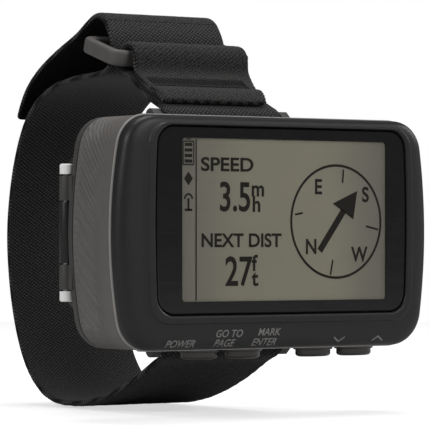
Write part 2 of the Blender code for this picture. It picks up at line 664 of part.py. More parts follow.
def make_screws():
    """Four case screws with a cross recess of one slot each way."""
    for number, (x, z) in enumerate(boss_places(), 1):
        head = COVER_END - SCREW_HEAD_HEIGHT
        profile = [(0, SCREW_RADIUS * 0.6), (0.5 * MM, SCREW_RADIUS), (SCREW_LENGTH, SCREW_RADIUS),
                   (SCREW_LENGTH, SCREW_HEAD_RADIUS), (SCREW_LENGTH + SCREW_HEAD_HEIGHT * 0.7,
                                                       SCREW_HEAD_RADIUS),
                   (SCREW_LENGTH + SCREW_HEAD_HEIGHT * 0.85, SCREW_HEAD_RADIUS * 0.8)]
        screw = turned("case_screw_%d" % number, profile, (x, head - SCREW_LENGTH, z), (0, 1, 0), "steel",
                       16)
        for half_x, half_z in ((1.0 * MM, 0.22 * MM), (0.22 * MM, 1.0 * MM)):
            cut(screw, block("slot", (x - half_x, head + SCREW_HEAD_HEIGHT * 0.35, z - half_z),
                             (x + half_x, COVER_END + WALL, z + half_z), "steel"))


def make_battery_bay():
    """Tray, two cells end to end in series, and their contacts."""
    half_z = BAY_HALF_HEIGHT + GAP
    low_x = BAY_CENTRE - BAY_HALF_LENGTH - CONTACT_ROOM
    high_x = BAY_CENTRE + BAY_HALF_LENGTH + CONTACT_ROOM
    tray_end = COVER_START - GAP
    tray = block("battery_tray", (low_x - TRAY_WALL, TRAY_START, -half_z - TRAY_WALL),
                 (high_x + TRAY_WALL, tray_end, half_z + TRAY_WALL), "chip")
    cut(tray, block("tray_room", (low_x, TRAY_START + TRAY_FLOOR, -half_z),
                    (high_x, tray_end + WALL, half_z), "chip"))
    profile = [(0, CELL_RADIUS - 0.5 * MM), (0.4 * MM, CELL_RADIUS), (CELL_LENGTH - 0.4 * MM, CELL_RADIUS),
               (CELL_LENGTH, CELL_RADIUS - 0.5 * MM), (CELL_LENGTH, CELL_NUB_RADIUS),
               (CELL_TOTAL, CELL_NUB_RADIUS * 0.9)]
    for number, way in ((1, 1), (2, -1)):
        turned("battery_%d" % number, profile,
               (BAY_CENTRE - way * CELL_TOTAL / 2, CELL_Y, way * CELL_SPACING / 2), (way, 0, 0), "cell")
    contact = CONTACT_ROOM - 2 * GAP
    half = CELL_RADIUS * 0.75
    front, back = TRAY_START + TRAY_FLOOR + GAP, tray_end - GAP
    left_x = low_x + GAP
    block("battery_plate", (left_x, front, -CELL_SPACING / 2 - half),
          (left_x + contact, back, -CELL_SPACING / 2 + half), "steel")
    right_x = high_x - GAP
    block("battery_bridge", (right_x - contact, front, -CELL_SPACING / 2 - half),
          (right_x, back, CELL_SPACING / 2 + half), "steel")
    make_contact_spring(left_x, back)


def make_contact_spring(left_x, back):
    """Flat coil that the first cell's end presses on."""
    turns, steps, wire = 2.5, 16, 0.2 * MM
    centre_y = back - SPRING_RADIUS - wire
    loops = []
    count = int(turns * steps)
    for i in range(count + 1):
        share = i / count
        angle = 2 * math.pi * turns * share
        radius = SPRING_RADIUS * (1 - 0.7 * share)
        out = Vector((0, math.cos(angle), math.sin(angle)))
        centre = Vector((left_x + wire + 0.25 * MM * share, centre_y, CELL_SPACING / 2)) + out * radius
        loops.append([centre + wire * (out * math.cos(a) + Vector((1, 0, 0)) * math.sin(a))
                      for a in (2 * math.pi * k / 6 for k in range(6))])
    loft("battery_spring", loops, "steel")


def make_door():
    """Battery door: shallow tray with the middle knuckle on its left and a screw tab on its right."""
    def ring(inset, y):
        return at_depth(outline(DOOR_WIDTH / 2 - inset, DOOR_HEIGHT / 2 - inset, DOOR_CORNER - inset), y,
                        (DOOR_CENTRE, 0.0))

    loops = [ring(1.4 * MM, DOOR_END), ring(0.5 * MM, DOOR_END - 0.35 * MM), ring(0, DOOR_END - 1.2 * MM),
             ring(0, DOOR_START), ring(DOOR_WALL, DOOR_START), ring(DOOR_WALL, DOOR_END - DOOR_SKIN)]
    door = loft("battery_door", loops, "grey shell")
    edge = DOOR_CENTRE - DOOR_WIDTH / 2
    half = KNUCKLE_CENTRE_LENGTH / 2
    join(door, block("arm", (HINGE_X, HINGE_Y + 0.05 * MM, -half),
                     (edge + DOOR_WALL / 2, HINGE_Y + KNUCKLE_RADIUS * 0.9, half), "grey shell"))
    join(door, rod("knuckle", (HINGE_X, HINGE_Y, -half), (0, 0, 1), 2 * half, KNUCKLE_RADIUS, "grey shell"))
    cut(door, rod("pin_hole", (HINGE_X, HINGE_Y, -half - WALL), (0, 0, 1), 2 * (half + WALL),
                  HINGE_PIN_RADIUS + GAP, "grey shell", 16))
    right = DOOR_CENTRE + DOOR_WIDTH / 2
    tab = [at_depth(outline(DOOR_TAB_REACH / 2 + DOOR_WALL / 4, DOOR_TAB_WIDTH / 2, 1.4 * MM), y,
                    (right + DOOR_TAB_REACH / 2 - DOOR_WALL / 4, 0.0))
           for y in (DOOR_START, DOOR_START + DOOR_TAB_DEPTH)]
    join(door, loft("tab", tab, "grey shell"))
    cut(door, rod("screw_room", (SCREW_X, DOOR_START - WALL, 0), (0, 1, 0), DOOR_TAB_DEPTH + 2 * WALL,
                  DOOR_SCREW_RADIUS + GAP, "grey shell"))
    cut(door, rod("head_room", (SCREW_X, DOOR_START + DOOR_TAB_DEPTH + GAP / 2, 0), (0, 1, 0), 3 * WALL,
                  DOOR_SCREW_HEAD_RADIUS + GAP, "grey shell"))
    pivot = (HINGE_X, HINGE_Y, 0)
    hang(door, pivot)
    make_door_seal(pivot)
    make_door_screw()


def make_door_seal(pivot):
    """Rubber ring inside the door's wall."""
    inset = DOOR_WALL + GAP
    rings = []
    for y, more in ((0, 0), (DOOR_SEAL_SIZE, 0), (DOOR_SEAL_SIZE, DOOR_SEAL_SIZE), (0, DOOR_SEAL_SIZE)):
        size = inset + more
        loop = outline(DOOR_WIDTH / 2 - size, DOOR_HEIGHT / 2 - size, DOOR_CORNER - size)
        rings.append(at_depth(loop, DOOR_START + y, (DOOR_CENTRE, 0.0)))
    hang(loft("door_seal", rings, "rubber", ring=True), pivot)


def make_door_screw():
    """Quarter-turn screw with a coin slot."""
    under_head = DOOR_START + DOOR_TAB_DEPTH + GAP
    tip = COVER_START + 0.2 * MM
    length = under_head - tip
    profile = [(0, DOOR_SCREW_RADIUS), (length, DOOR_SCREW_RADIUS), (length, DOOR_SCREW_HEAD_RADIUS),
               (length + DOOR_SCREW_HEAD_HEIGHT * 0.75, DOOR_SCREW_HEAD_RADIUS),
               (length + DOOR_SCREW_HEAD_HEIGHT, DOOR_SCREW_HEAD_RADIUS * 0.85)]
    screw = turned("door_screw", profile, (SCREW_X, tip, 0), (0, 1, 0), "steel")
    top = under_head + DOOR_SCREW_HEAD_HEIGHT
    half, reach = DOOR_SCREW_SLOT / 2, DOOR_SCREW_HEAD_RADIUS * 2
    cut(screw, block("coin_slot", (SCREW_X - half, top - half * 1.6, -reach),
                     (SCREW_X + half, top + WALL, reach), "steel"))
    hang(screw, (SCREW_X, under_head, 0))


def make_hinge():
    """Hinge pin and the white cap on each of its ends."""
    cap_start = KNUCKLE_CENTRE_LENGTH / 2 + GAP + KNUCKLE_SIDE_LENGTH + GAP
    pin_half = cap_start + HINGE_CAP_LENGTH - HINGE_CAP_END - GAP
    rod("hinge_pin", (HINGE_X, HINGE_Y, -pin_half), (0, 0, 1), 2 * pin_half, HINGE_PIN_RADIUS, "steel", 16)
    for name, way in (("hinge_cap_upper", 1), ("hinge_cap_lower", -1)):
        start = (HINGE_X, HINGE_Y, way * cap_start)
        cap = turned(name, [(0, HINGE_CAP_RADIUS), (HINGE_CAP_LENGTH - 0.2 * MM, HINGE_CAP_RADIUS),
                            (HINGE_CAP_LENGTH, HINGE_CAP_RADIUS - 0.2 * MM)], start, (0, 0, way),
                     "white plastic")
        inner = (HINGE_X, HINGE_Y, way * (cap_start - WALL))
        cut(cap, rod("pin_room", inner, (0, 0, way), HINGE_CAP_LENGTH - HINGE_CAP_END + WALL,
                     HINGE_PIN_RADIUS + GAP, "white plastic", 16))


def make_port():
    """Data port inside the case, and the rubber cap that closes it."""
    half_x, half_z = PORT_WIDTH / 2, PORT_HEIGHT / 2
    end = COVER_END - 0.2 * MM
    port = block("data_port", (PORT_X - half_x, end - PORT_DEPTH, PORT_Z - half_z),
                 (PORT_X + half_x, end, PORT_Z + half_z), "steel")
    cut(port, block("port_room", (PORT_X - half_x + PORT_WALL, end - PORT_DEPTH * 0.7,
                                  PORT_Z - half_z + PORT_WALL),
                    (PORT_X + half_x - PORT_WALL, end + WALL, PORT_Z + half_z - PORT_WALL), "steel"))
    cap_start = COVER_END + GAP
    lid = [at_depth(outline(CAP_WIDTH / 2 - inset, CAP_HEIGHT / 2 - inset, CAP_CORNER - inset), y,
                    (PORT_X, PORT_Z))
           for inset, y in ((0, cap_start), (0, cap_start + CAP_THICKNESS * 0.7),
                            (0.4 * MM, cap_start + CAP_THICKNESS))]
    cap = loft("port_cap", lid, "rubber")
    inner_x = half_x - PORT_WALL - CAP_PLUG_GAP
    inner_z = half_z - PORT_WALL - CAP_PLUG_GAP / 2
    join(cap, block("plug", (PORT_X - inner_x, cap_start - CAP_PLUG_DEPTH, PORT_Z - inner_z),
                    (PORT_X + inner_x, cap_start + CAP_THICKNESS / 2, PORT_Z + inner_z), "rubber"))
    hang(cap, (PORT_X + CAP_WIDTH / 2, cap_start, PORT_Z))


def make_strap_bars():
    """Steel bars between the lugs, above and below the case."""
    half = LUG_INNER + BAR_SINK - GAP
    for name, side in (("strap_bar_upper", 1), ("strap_bar_lower", -1)):
        rod(name, (-half, STRAP_BAR_Y, side * STRAP_BAR_Z), (1, 0, 0), 2 * half, STRAP_BAR_RADIUS, "steel",
            16)


def make_strap_short():
    """Short end: round the upper bar, out to the ring, round its near bar and back."""
    bar = (STRAP_BAR_Y, STRAP_BAR_Z)
    ring = (RING_Y, RING_Z)
    eye = RING_BAR * 0.92 + GAP + STRAP_THICKNESS / 2
    start = [(STRAP_BAR_Y + 5.2 * MM, STRAP_BAR_Z + 1.55 * MM),
             (STRAP_BAR_Y + 3.2 * MM, STRAP_BAR_Z + 0.1 * MM)]
    round_bar = arc(bar, EYE_RADIUS, -62, -236, 9)
    out = [(STRAP_BAR_Y + 2.6 * MM, STRAP_BAR_Z + 2.85 * MM)] + from_ring([(-4.8, -6.2), (-2.0, -4.05)])
    round_ring = arc(ring, eye, -50, 190, 12)
    back = from_ring([(-2.5, -2.1), (-3.6, -3.3), (-5.6, -4.8), (-7.9, -6.05), (-9.4, -6.75),
                      (-10.6, -7.3)])
    path = smooth_path(start + round_bar + out + round_ring + back, 2)
    ribbon("strap_short", path)


def from_bar(points):
    """Turn (mm behind the strap bars, height as a share of the bars' height) into (y, z)."""
    return [(STRAP_BAR_Y + y * MM, STRAP_BAR_Z * share) for y, share in points]


def from_ring(points):
    """Turn (mm behind, mm above) the ring's near bar into (y, z)."""
    return [(RING_Y + y * MM, RING_Z + z * MM) for y, z in points]


def make_strap_loop():
    """Long end: round the lower bar, round the wrist, up through the ring to the fold."""
    bar = (STRAP_BAR_Y, -STRAP_BAR_Z)
    start = [(STRAP_BAR_Y + 5.2 * MM, -STRAP_BAR_Z - 1.3 * MM),
             (STRAP_BAR_Y + 3.2 * MM, -STRAP_BAR_Z - 0.1 * MM)]
    round_bar = arc(bar, EYE_RADIUS, 62, 236, 9)
    wrist = from_bar([(2.2, -1.12), (7.4, -1.25), (14.4, -1.39), (21.2, -1.485), (28.1, -1.535),
                      (36.6, -1.525), (42.9, -1.39), (47.8, -1.125), (51.2, -0.73), (53.0, -0.29),
                      (53.2, 0.125), (51.2, 0.6), (47.4, 1.0), (42.1, 1.235), (35.2, 1.36), (27.6, 1.405)])
    through_ring = from_ring([(9.6, -2.4), (6.3, -1.5), (5.1, 0.9), (5.3, 3.9), (7.2, 6.9)])
    ribbon("strap_loop", smooth_path(start + round_bar + wrist + through_ring, 3))


def make_strap_tail():
    """Tail that lies back over the loop and is held by hook and loop."""
    over_ring = from_ring([(7.55, 7.25), (8.8, 8.2), (10.5, 8.45), (13.2, 7.3)])
    on_loop = from_bar([(28.6, 1.785), (34.6, 1.67), (40.6, 1.535), (45.0, 1.395), (47.6, 1.26), (49.9, 1.06)])
    path = smooth_path(over_ring + on_loop, 3)
    hang(ribbon("strap_tail", path), tail_pivot(path))


def tail_pivot(path):
    """Point on the strap's outer face at the tail's start, where it folds up."""
    along = (Vector(path[1]) - Vector(path[0])).normalized()
    outer = Vector(path[0]) + Vector((-along.y, along.x)) * STRAP_THICKNESS / 2
    return (0.0, outer.x, outer.y)


def make_strap_ring():
    """Buckle ring, tilted, with its origin on the near bar that it turns on."""
    inner_half = STRAP_WIDTH / 2 + RING_SIDE_GAP
    half_x = inner_half + RING_BAR
    half_y = RING_REACH / 2 + RING_BAR / 2
    half_h = RING_HEIGHT / 2
    loops = []
    for height, inset in ((-half_h, RING_EDGE), (RING_EDGE - half_h, 0), (half_h - RING_EDGE, 0),
                          (half_h, RING_EDGE), (half_h, RING_BAR - RING_EDGE),
                          (half_h - RING_EDGE, RING_BAR), (RING_EDGE - half_h, RING_BAR),
                          (-half_h, RING_BAR - RING_EDGE)):
        loop = outline(half_x - inset, half_y - inset, RING_CORNER - inset)
        loops.append([Vector((x, y + RING_REACH / 2, height)) for x, y in loop])
    ring = loft("strap_ring", loops, "ring", ring=True)
    ring.data.transform(Matrix.Rotation(RING_TILT, 4, "X"))
    ring.location = (-RING_LEFT, RING_Y, RING_Z)


def stand_on_ground():
    """Parent every piece to one empty, moved so that the lowest point is at zero and X, Y are centred."""
    graph = bpy.context.evaluated_depsgraph_get()
    corners = []
    pieces = [piece for piece in bpy.context.scene.objects if piece.type == "MESH"]
    for piece in pieces:
        seen = piece.evaluated_get(graph)
        corners += [seen.matrix_world @ vertex.co for vertex in seen.data.vertices]
    low = Vector([min(corner[i] for corner in corners) for i in range(3)])
    high = Vector([max(corner[i] for corner in corners) for i in range(3)])
    base = bpy.data.objects.new("unit_base", None)
    bpy.context.collection.objects.link(base)
    base.location = (-(low.x + high.x) / 2, -(low.y + high.y) / 2, -low.z)
    for piece in pieces:
        piece.parent = base


def main():
    for old in list(bpy.data.objects):
        bpy.data.objects.remove(old, do_unlink=True)
    make_bezel()
    make_window()
    make_housing()
    make_gasket("front_gasket", HOUSING_START, HOUSING_START + REBATE - GAP)
    make_gasket("rear_gasket", HOUSING_END - REBATE + GAP, HOUSING_END)
    make_electronics()
    make_flex()
    make_keys()
    make_cover()
    make_screws()
    make_battery_bay()
    make_door()
    make_hinge()
    make_port()
    make_strap_bars()
    make_strap_short()
    make_strap_loop()
    make_strap_tail()
    make_strap_ring()
    bpy.context.view_layer.update()
    stand_on_ground()


main()
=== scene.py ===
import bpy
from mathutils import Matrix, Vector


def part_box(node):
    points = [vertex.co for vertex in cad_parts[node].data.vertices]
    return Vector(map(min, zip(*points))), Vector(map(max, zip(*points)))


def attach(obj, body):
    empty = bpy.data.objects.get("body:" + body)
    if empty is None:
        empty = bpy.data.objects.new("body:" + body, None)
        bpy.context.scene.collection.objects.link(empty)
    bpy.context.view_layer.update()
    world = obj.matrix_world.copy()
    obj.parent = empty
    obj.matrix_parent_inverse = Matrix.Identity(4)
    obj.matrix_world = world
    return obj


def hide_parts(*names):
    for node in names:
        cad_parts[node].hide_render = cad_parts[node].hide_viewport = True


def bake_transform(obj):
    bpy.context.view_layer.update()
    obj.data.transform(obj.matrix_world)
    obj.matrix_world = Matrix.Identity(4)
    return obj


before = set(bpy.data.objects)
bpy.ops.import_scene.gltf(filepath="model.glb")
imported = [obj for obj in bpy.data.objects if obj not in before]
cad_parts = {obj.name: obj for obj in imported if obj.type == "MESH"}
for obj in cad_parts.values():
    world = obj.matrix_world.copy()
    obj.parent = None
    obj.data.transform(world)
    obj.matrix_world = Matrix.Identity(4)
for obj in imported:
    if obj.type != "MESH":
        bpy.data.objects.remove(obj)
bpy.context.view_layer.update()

import math

import bmesh
import bpy
import numpy as np
from mathutils import Vector

# Camera: eye level with the screen, well off to its left, with a long lens.
# The case's own place comes from the front shell: middle of its width, its front face, middle
# of its height.
MM = 0.001
shell_low, shell_high = (Vector(corner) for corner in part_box("front_bezel"))
CASE_X = (shell_low.x + shell_high.x) / 2
CASE_FRONT = shell_low.y
CASE_Z = (shell_low.z + shell_high.z) / 2


def at(x, depth, z):
    """World place of a point given in mm right of, behind and above the middle of the case's face."""
    return Vector((CASE_X + x * MM, CASE_FRONT + depth * MM, CASE_Z + z * MM))


def placed(name, data):
    """New object of that data, in the scene."""
    made = bpy.data.objects.new(name, data)
    bpy.context.collection.objects.link(made)
    return made


EYE_DISTANCE = 526.0
EYE_HEIGHT = -1.3
EYE_SIDE = math.radians(36.0)
EYE_TILT = math.radians(90.48)
EYE_PAN = math.radians(1.28)
eye = bpy.data.cameras.new("studio_camera")
eye.lens = 251.0
eye.clip_start = 0.01
camera = placed("studio_camera", eye)
camera.location = at(-EYE_DISTANCE * math.sin(EYE_SIDE), -EYE_DISTANCE * math.cos(EYE_SIDE), EYE_HEIGHT)
camera.rotation_euler = (EYE_TILT, 0, -EYE_SIDE + EYE_PAN)
bpy.context.scene.camera = camera

# Studio: a pale round floor and four soft lamps, with an even surround that is seen as plain white.
# The floor and the surround look brighter to the camera than the light they give.


def plain(name, colour, roughness):
    """Material of one colour, for the studio only."""
    made = bpy.data.materials.new(name)
    made.use_nodes = True
    surface = made.node_tree.nodes["Principled BSDF"]
    surface.inputs["Base Color"].default_value = (*colour, 1)
    surface.inputs["Roughness"].default_value = roughness
    surface.inputs["Specular IOR Level"].default_value = 0.1
    return made


FLOOR_RADIUS = 0.6
FLOOR_DROP = 0.0004
FLOOR_TONE = 0.62
SURROUND_LIGHT = 0.11


bpy.ops.object.select_all(action="DESELECT")
bpy.ops.mesh.primitive_circle_add(vertices=96, radius=FLOOR_RADIUS, fill_type="NGON",
                                  location=(0, 0, -FLOOR_DROP))
floor = bpy.context.object
floor.name = "studio_floor"
pale = plain("pale floor", (FLOOR_TONE,) * 3, 0.8)
glow = pale.node_tree.nodes["Principled BSDF"]
glow.inputs["Emission Color"].default_value = (1, 1, 1, 1)
ray = pale.node_tree.nodes.new("ShaderNodeLightPath")
share = pale.node_tree.nodes.new("ShaderNodeMath")
share.operation = "MULTIPLY"
share.inputs[1].default_value = FLOOR_TONE
pale.node_tree.links.new(ray.outputs["Is Camera Ray"], share.inputs[0])
pale.node_tree.links.new(share.outputs[0], glow.inputs["Emission Strength"])
floor.data.materials.append(pale)

bpy.context.scene.view_settings.view_transform = "Standard"
surround = bpy.data.worlds.new("studio")
surround.use_nodes = True
sky = surround.node_tree
dim = sky.nodes["Background"]
dim.inputs["Color"].default_value = (1, 1, 1, 1)
dim.inputs["Strength"].default_value = SURROUND_LIGHT
bright = sky.nodes.new("ShaderNodeBackground")
bright.inputs["Color"].default_value = (1, 1, 1, 1)
bright.inputs["Strength"].default_value = 1.0
seen = sky.nodes.new("ShaderNodeLightPath")
either = sky.nodes.new("ShaderNodeMixShader")
sky.links.new(seen.outputs["Is Camera Ray"], either.inputs[0])
sky.links.new(dim.outputs[0], either.inputs[1])
sky.links.new(bright.outputs[0], either.inputs[2])
sky.links.new(either.outputs[0], sky.nodes["World Output"].inputs["Surface"])
bpy.context.scene.world = surround


def lamp(name, place, size, power):
    """Soft square lamp aimed at the case."""
    light = bpy.data.lights.new(name, "AREA")
    light.size = size
    light.energy = power
    holder = placed(name, light)
    holder.location = place
    aim = at(0, 20, 0) - holder.location
    holder.rotation_euler = aim.to_track_quat("-Z", "Y").to_euler()


lamp("front_lamp", (0.2, -0.8, 0.5), 0.35, 2.9)
lamp("left_lamp", (-0.85, -0.15, 0.5), 0.25, 3.4)
lamp("right_lamp", (0.8, -0.25, 0.4), 0.25, 2.2)
lamp("top_lamp", (0.05, 0.1, 0.9), 0.4, 3.6)

# Front shell: black ABS blend, injection moulded with a fine spark-eroded grain.
# Its shoulder slopes back to the seam, and a raised rim frames the window pocket.


def linear(code):
    """sRGB hex code to linear RGB with alpha."""
    values = [int(code[i:i + 2], 16) / 255 for i in (0, 2, 4)]
    return [v / 12.92 if v <= 0.04045 else ((v + 0.055) / 1.055) ** 2.4 for v in values] + [1.0]


def node(tree, kind, settings=None, **inputs):
    """Add a shader node, set its properties, and set or link its inputs by name."""
    made = tree.nodes.new(kind)
    for key, value in (settings or {}).items():
        setattr(made, key, value)
    for key, value in inputs.items():
        socket = made.inputs[int(key[1:])] if key[0] == "i" and key[1:].isdigit() else \
            made.inputs[key.replace("_", " ")]
        if isinstance(value, bpy.types.NodeSocket):
            tree.links.new(value, socket)
        else:
            socket.default_value = value
    return made


def shader(name, base, roughness, metallic=0.0, specular=0.5):
    """New Principled material; returns it with its tree and shader node."""
    made = bpy.data.materials.new(name)
    made.use_nodes = True
    tree = made.node_tree
    face = tree.nodes["Principled BSDF"]
    face.inputs["Base Color"].default_value = linear(base)
    face.inputs["Roughness"].default_value = roughness
    face.inputs["Metallic"].default_value = metallic
    face.inputs["Specular IOR Level"].default_value = specular
    return made, tree, face


def mottle(tree, face, dark, light, scale_mm, detail=4.0):
    """Slow change of colour over the surface between two shades."""
    place = node(tree, "ShaderNodeTexCoord").outputs["Object"]
    cloud = node(tree, "ShaderNodeTexNoise", None, Vector=place, Scale=1 / (scale_mm * MM), Detail=detail,
                 Roughness=0.6)
    ramp = node(tree, "ShaderNodeMix", {"data_type": "RGBA"}, i0=cloud.outputs["Fac"], i6=linear(dark),
                i7=linear(light))
    tree.links.new(ramp.outputs[2], face.inputs["Base Color"])
    return place


def grain(tree, face, place, size_mm, height_mm, rough_low, rough_high):
    """Moulded grain: bump, with roughness that follows it."""
    grit = node(tree, "ShaderNodeTexNoise", None, Vector=place, Scale=1 / (size_mm * MM), Detail=3.0)
    bump = node(tree, "ShaderNodeBump", None, Height=grit.outputs["Fac"], Strength=1.0,
                Distance=height_mm * MM)
    tree.links.new(bump.outputs["Normal"], face.inputs["Normal"])
    rough = node(tree, "ShaderNodeMapRange", None, Value=grit.outputs["Fac"], To_Min=rough_low,
                 To_Max=rough_high)
    tree.links.new(rough.outputs["Result"], face.inputs["Roughness"])


def black_moulding():
    """Spark-eroded ABS: grain of about 0.25 mm gives a soft satin sheen."""
    made, tree, face = shader("spark eroded black ABS", "1e1e1f", 0.42, specular=0.35)
    place = mottle(tree, face, "1a1a1b", "212122", 6.0)
    grain(tree, face, place, 0.28, 0.02, 0.36, 0.52)
    return made


black_shell = black_moulding()
LINE_POINTS = 420
CASE_CORNER = 6.0
CASE_BULGE = 84.0
LENS_BULGE = 3 * CASE_BULGE


def rounded_line(half_width, half_height, corner, bulge, count=LINE_POINTS, centre=(0.0, 0.0)):
    """Evenly spaced (x, z) points in mm round a rounded rectangle with bowed short sides."""
    middle = half_width - bulge
    corner_z = half_height - corner
    corner_x = middle + math.sqrt((bulge - corner) ** 2 - corner_z ** 2)
    lean = math.atan2(corner_z, corner_x - middle)
    side = [(middle + bulge * math.cos(a), bulge * math.sin(a)) for a in np.linspace(0, lean, 40)]
    turn = [(corner_x + corner * math.cos(a), corner_z + corner * math.sin(a))
            for a in np.linspace(lean, math.pi / 2, 40)]
    quarter = np.array(side + turn[1:])
    mirror = quarter[::-1] * (-1, 1)
    loop = np.vstack([quarter, mirror, -quarter[1:], -mirror[:-1]])
    along = np.concatenate([[0], np.cumsum(np.hypot(*np.diff(loop, axis=0).T))])
    places = np.linspace(0, along[-1], count, endpoint=False)
    x = np.interp(places, along, loop[:, 0]) + centre[0]
    z = np.interp(places, along, loop[:, 1]) + centre[1]
    return np.column_stack([x, z])


def case_line(inset, count=LINE_POINTS):
    """The case's outline in mm, moved in by inset."""
    return rounded_line(CASE_HALF_X - inset, CASE_HALF_Z - inset, CASE_CORNER - inset, CASE_BULGE - inset,
                        count)


def walled(name, loops, ring=False, angle=35.0):
    """Body skinned over loops of equal count; ring joins the last loop to the first."""
    shape = bmesh.new()
    rows = [[shape.verts.new(point) for point in loop] for loop in loops]
    pairs = list(zip(rows, rows[1:])) + ([(rows[-1], rows[0])] if ring else [])
    if not ring:
        shape.faces.new(rows[0])
        shape.faces.new(rows[-1])
    for first, second in pairs:
        for i in range(len(first)):
            j = (i + 1) % len(first)
            shape.faces.new((first[i], first[j], second[j], second[i]))
    bmesh.ops.recalc_face_normals(shape, faces=shape.faces)
    mesh = bpy.data.meshes.new(name)
    shape.to_mesh(mesh)
    shape.free()
    mesh.shade_smooth()
    mesh.set_sharp_from_angle(angle=math.radians(angle))
    return placed(name, mesh)


def settle(piece, body, material=None, stands_for=()):
    """Give a piece its finish, the body it moves with and the CAD nodes that it stands for."""
    if material:
        piece.data.materials.clear()
        piece.data.materials.append(material)
    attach(piece, body)
    if stands_for:
        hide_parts(*stands_for)
    return piece


CASE_HALF_X = (shell_high.x - shell_low.x) / MM / 2
CASE_HALF_Z = (shell_high.z - shell_low.z) / MM / 2
lens_low, lens_high = (Vector(corner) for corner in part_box("lens_window"))
WINDOW_X = ((lens_low.x + lens_high.x) / 2 - CASE_X) / MM
WINDOW_Z = ((lens_low.z + lens_high.z) / 2 - CASE_Z) / MM
LENS_HALF_X = (lens_high.x - lens_low.x) / MM / 2
LENS_HALF_Z = (lens_high.z - lens_low.z) / MM / 2
LENS_GAP = 0.3


def shell_line(share, depth):
    """One line of the front shell, from the seam (share 0) to the window's edge (share 1)."""
    half_x = CASE_HALF_X + (LENS_HALF_X + LENS_GAP - CASE_HALF_X) * share
    half_z = CASE_HALF_Z + (LENS_HALF_Z + LENS_GAP - CASE_HALF_Z) * share
    line = rounded_line(half_x, half_z, CASE_CORNER - 2.5 * share, CASE_BULGE * (1 + 2 * share),
                        LINE_POINTS, (WINDOW_X * share, WINDOW_Z * share))
    return [at(x, depth, z) for x, z in line]


SHOULDER = [(0.03, 3.4), (0.0, 3.28), (0.0, 2.55), (0.012, 2.2), (0.035, 1.85), (0.07, 1.52),
            (0.12, 1.2), (0.19, 0.92), (0.28, 0.7), (0.4, 0.52), (0.54, 0.4), (0.68, 0.33), (0.735, 0.31),
            (0.75, 0.27), (0.765, 0.1), (0.785, 0.02), (0.82, 0.0), (0.93, 0.0), (0.965, 0.03),
            (0.985, 0.11), (1.0, 0.3), (1.0, 2.4)]
POCKET_LINE = rounded_line(LENS_HALF_X - 2.3, LENS_HALF_Z - 1.0, 2.2, LENS_BULGE, LINE_POINTS,
                           (WINDOW_X, WINDOW_Z))
POCKET = [[at(x, depth, z) for x, z in POCKET_LINE] for depth in (2.4, 3.4)]
front_shell = walled("front_shell", [shell_line(s, d) for s, d in SHOULDER] + POCKET, ring=True)
settle(front_shell, "root", black_shell, ["front_bezel"])

# Printed marks under the keys: pale grey ink, pad printed on the shell's lower slope.
# Each mark is flat lettering pushed back onto the shell.


IN_FRONT = -1.0
CAPITAL = 0.7
MARK_LIFT = 0.03


def lettering(name, words, x, z, height, slant=0.0, heavy=0.0, wide=1.0):
    """Flat words with their left foot at (x, z) in mm, standing just in front of the case."""
    bpy.ops.object.select_all(action="DESELECT")
    bpy.ops.object.text_add(location=(0, 0, 0))
    made = bpy.context.object
    made.name = name
    made.data.body = words
    made.data.size = height * MM / CAPITAL
    made.data.shear = slant
    made.data.offset = heavy * height * MM
    made.rotation_euler = (math.radians(90), 0, 0)
    made.location = at(x, IN_FRONT, z)
    made.scale = (wide, 1, 1)
    bpy.ops.object.convert(target="MESH")
    bpy.ops.object.transform_apply(location=True, rotation=True, scale=True)
    return bpy.context.object


def lay_on(piece, ground, lift):
    """Push a flat mark straight back onto another piece's surface."""
    bpy.ops.object.select_all(action="DESELECT")
    piece.select_set(True)
    bpy.context.view_layer.objects.active = piece
    bpy.ops.object.mode_set(mode="EDIT")
    bpy.ops.mesh.select_all(action="SELECT")
    bpy.ops.mesh.quads_convert_to_tris()
    bpy.ops.mesh.subdivide(number_cuts=1)
    bpy.ops.object.mode_set(mode="OBJECT")
    wrap = piece.modifiers.new("onto", "SHRINKWRAP")
    wrap.wrap_method = "PROJECT"
    wrap.use_project_y = True
    wrap.use_negative_direction = False
    wrap.use_positive_direction = True
    wrap.target = ground
    wrap.offset = lift * MM
    bpy.ops.object.modifier_apply(modifier="onto")


def ink(name, colour):
    """Matt printing ink, slightly uneven in density."""
    made, tree, face = shader(name, colour, 0.55)
    low = "".join("%02x" % max(int(colour[i:i + 2], 16) - 10, 0) for i in (0, 2, 4))
    mottle(tree, face, low, colour, 0.5)
    return made


label_ink = ink("pad printed grey ink", "7b7977")
LABELS = [("power", "POWER", -24.0, -19.75, 1.25), ("go_to", "GO TO", -13.9, -18.1, 1.25),
          ("page", "PAGE", -13.9, -19.75, 1.25), ("mark", "MARK", -4.9, -17.95, 1.25),
          ("enter", "ENTER", -5.9, -19.7, 1.25)]
for key, words, x, z, height in LABELS:
    mark = lettering("label_" + key, words, x, z, height, slant=0.25, heavy=0.02, wide=0.98)
    lay_on(mark, front_shell, MARK_LIFT)
    settle(mark, "root", label_ink)


def chevron(name, x, z, width, rise):
    """Open V mark; a negative rise points up."""
    thick = 0.32
    half = width / 2
    outline = [(x - half, z + rise / 2), (x, z - rise / 2), (x + half, z + rise / 2),
               (x + half, z + rise / 2 + thick), (x, z - rise / 2 + thick), (x - half, z + rise / 2 + thick)]
    mesh = bpy.data.meshes.new(name)
    mesh.from_pydata([at(px, IN_FRONT, pz) for px, pz in outline], [], [(0, 1, 4, 5), (1, 2, 3, 4)])
    return placed(name, mesh)


for name, x, rise in (("label_down", 13.1, 0.8), ("label_up", 21.8, -0.8)):
    mark = chevron(name, x, -19.1, 2.4, rise)
    lay_on(mark, front_shell, MARK_LIFT)
    settle(mark, "root", label_ink)

# Lens: clear acrylic with a black border printed on its back, glued into the shell's pocket.
# The border is an opaque gloss frame, and the clear pane is set in its opening.


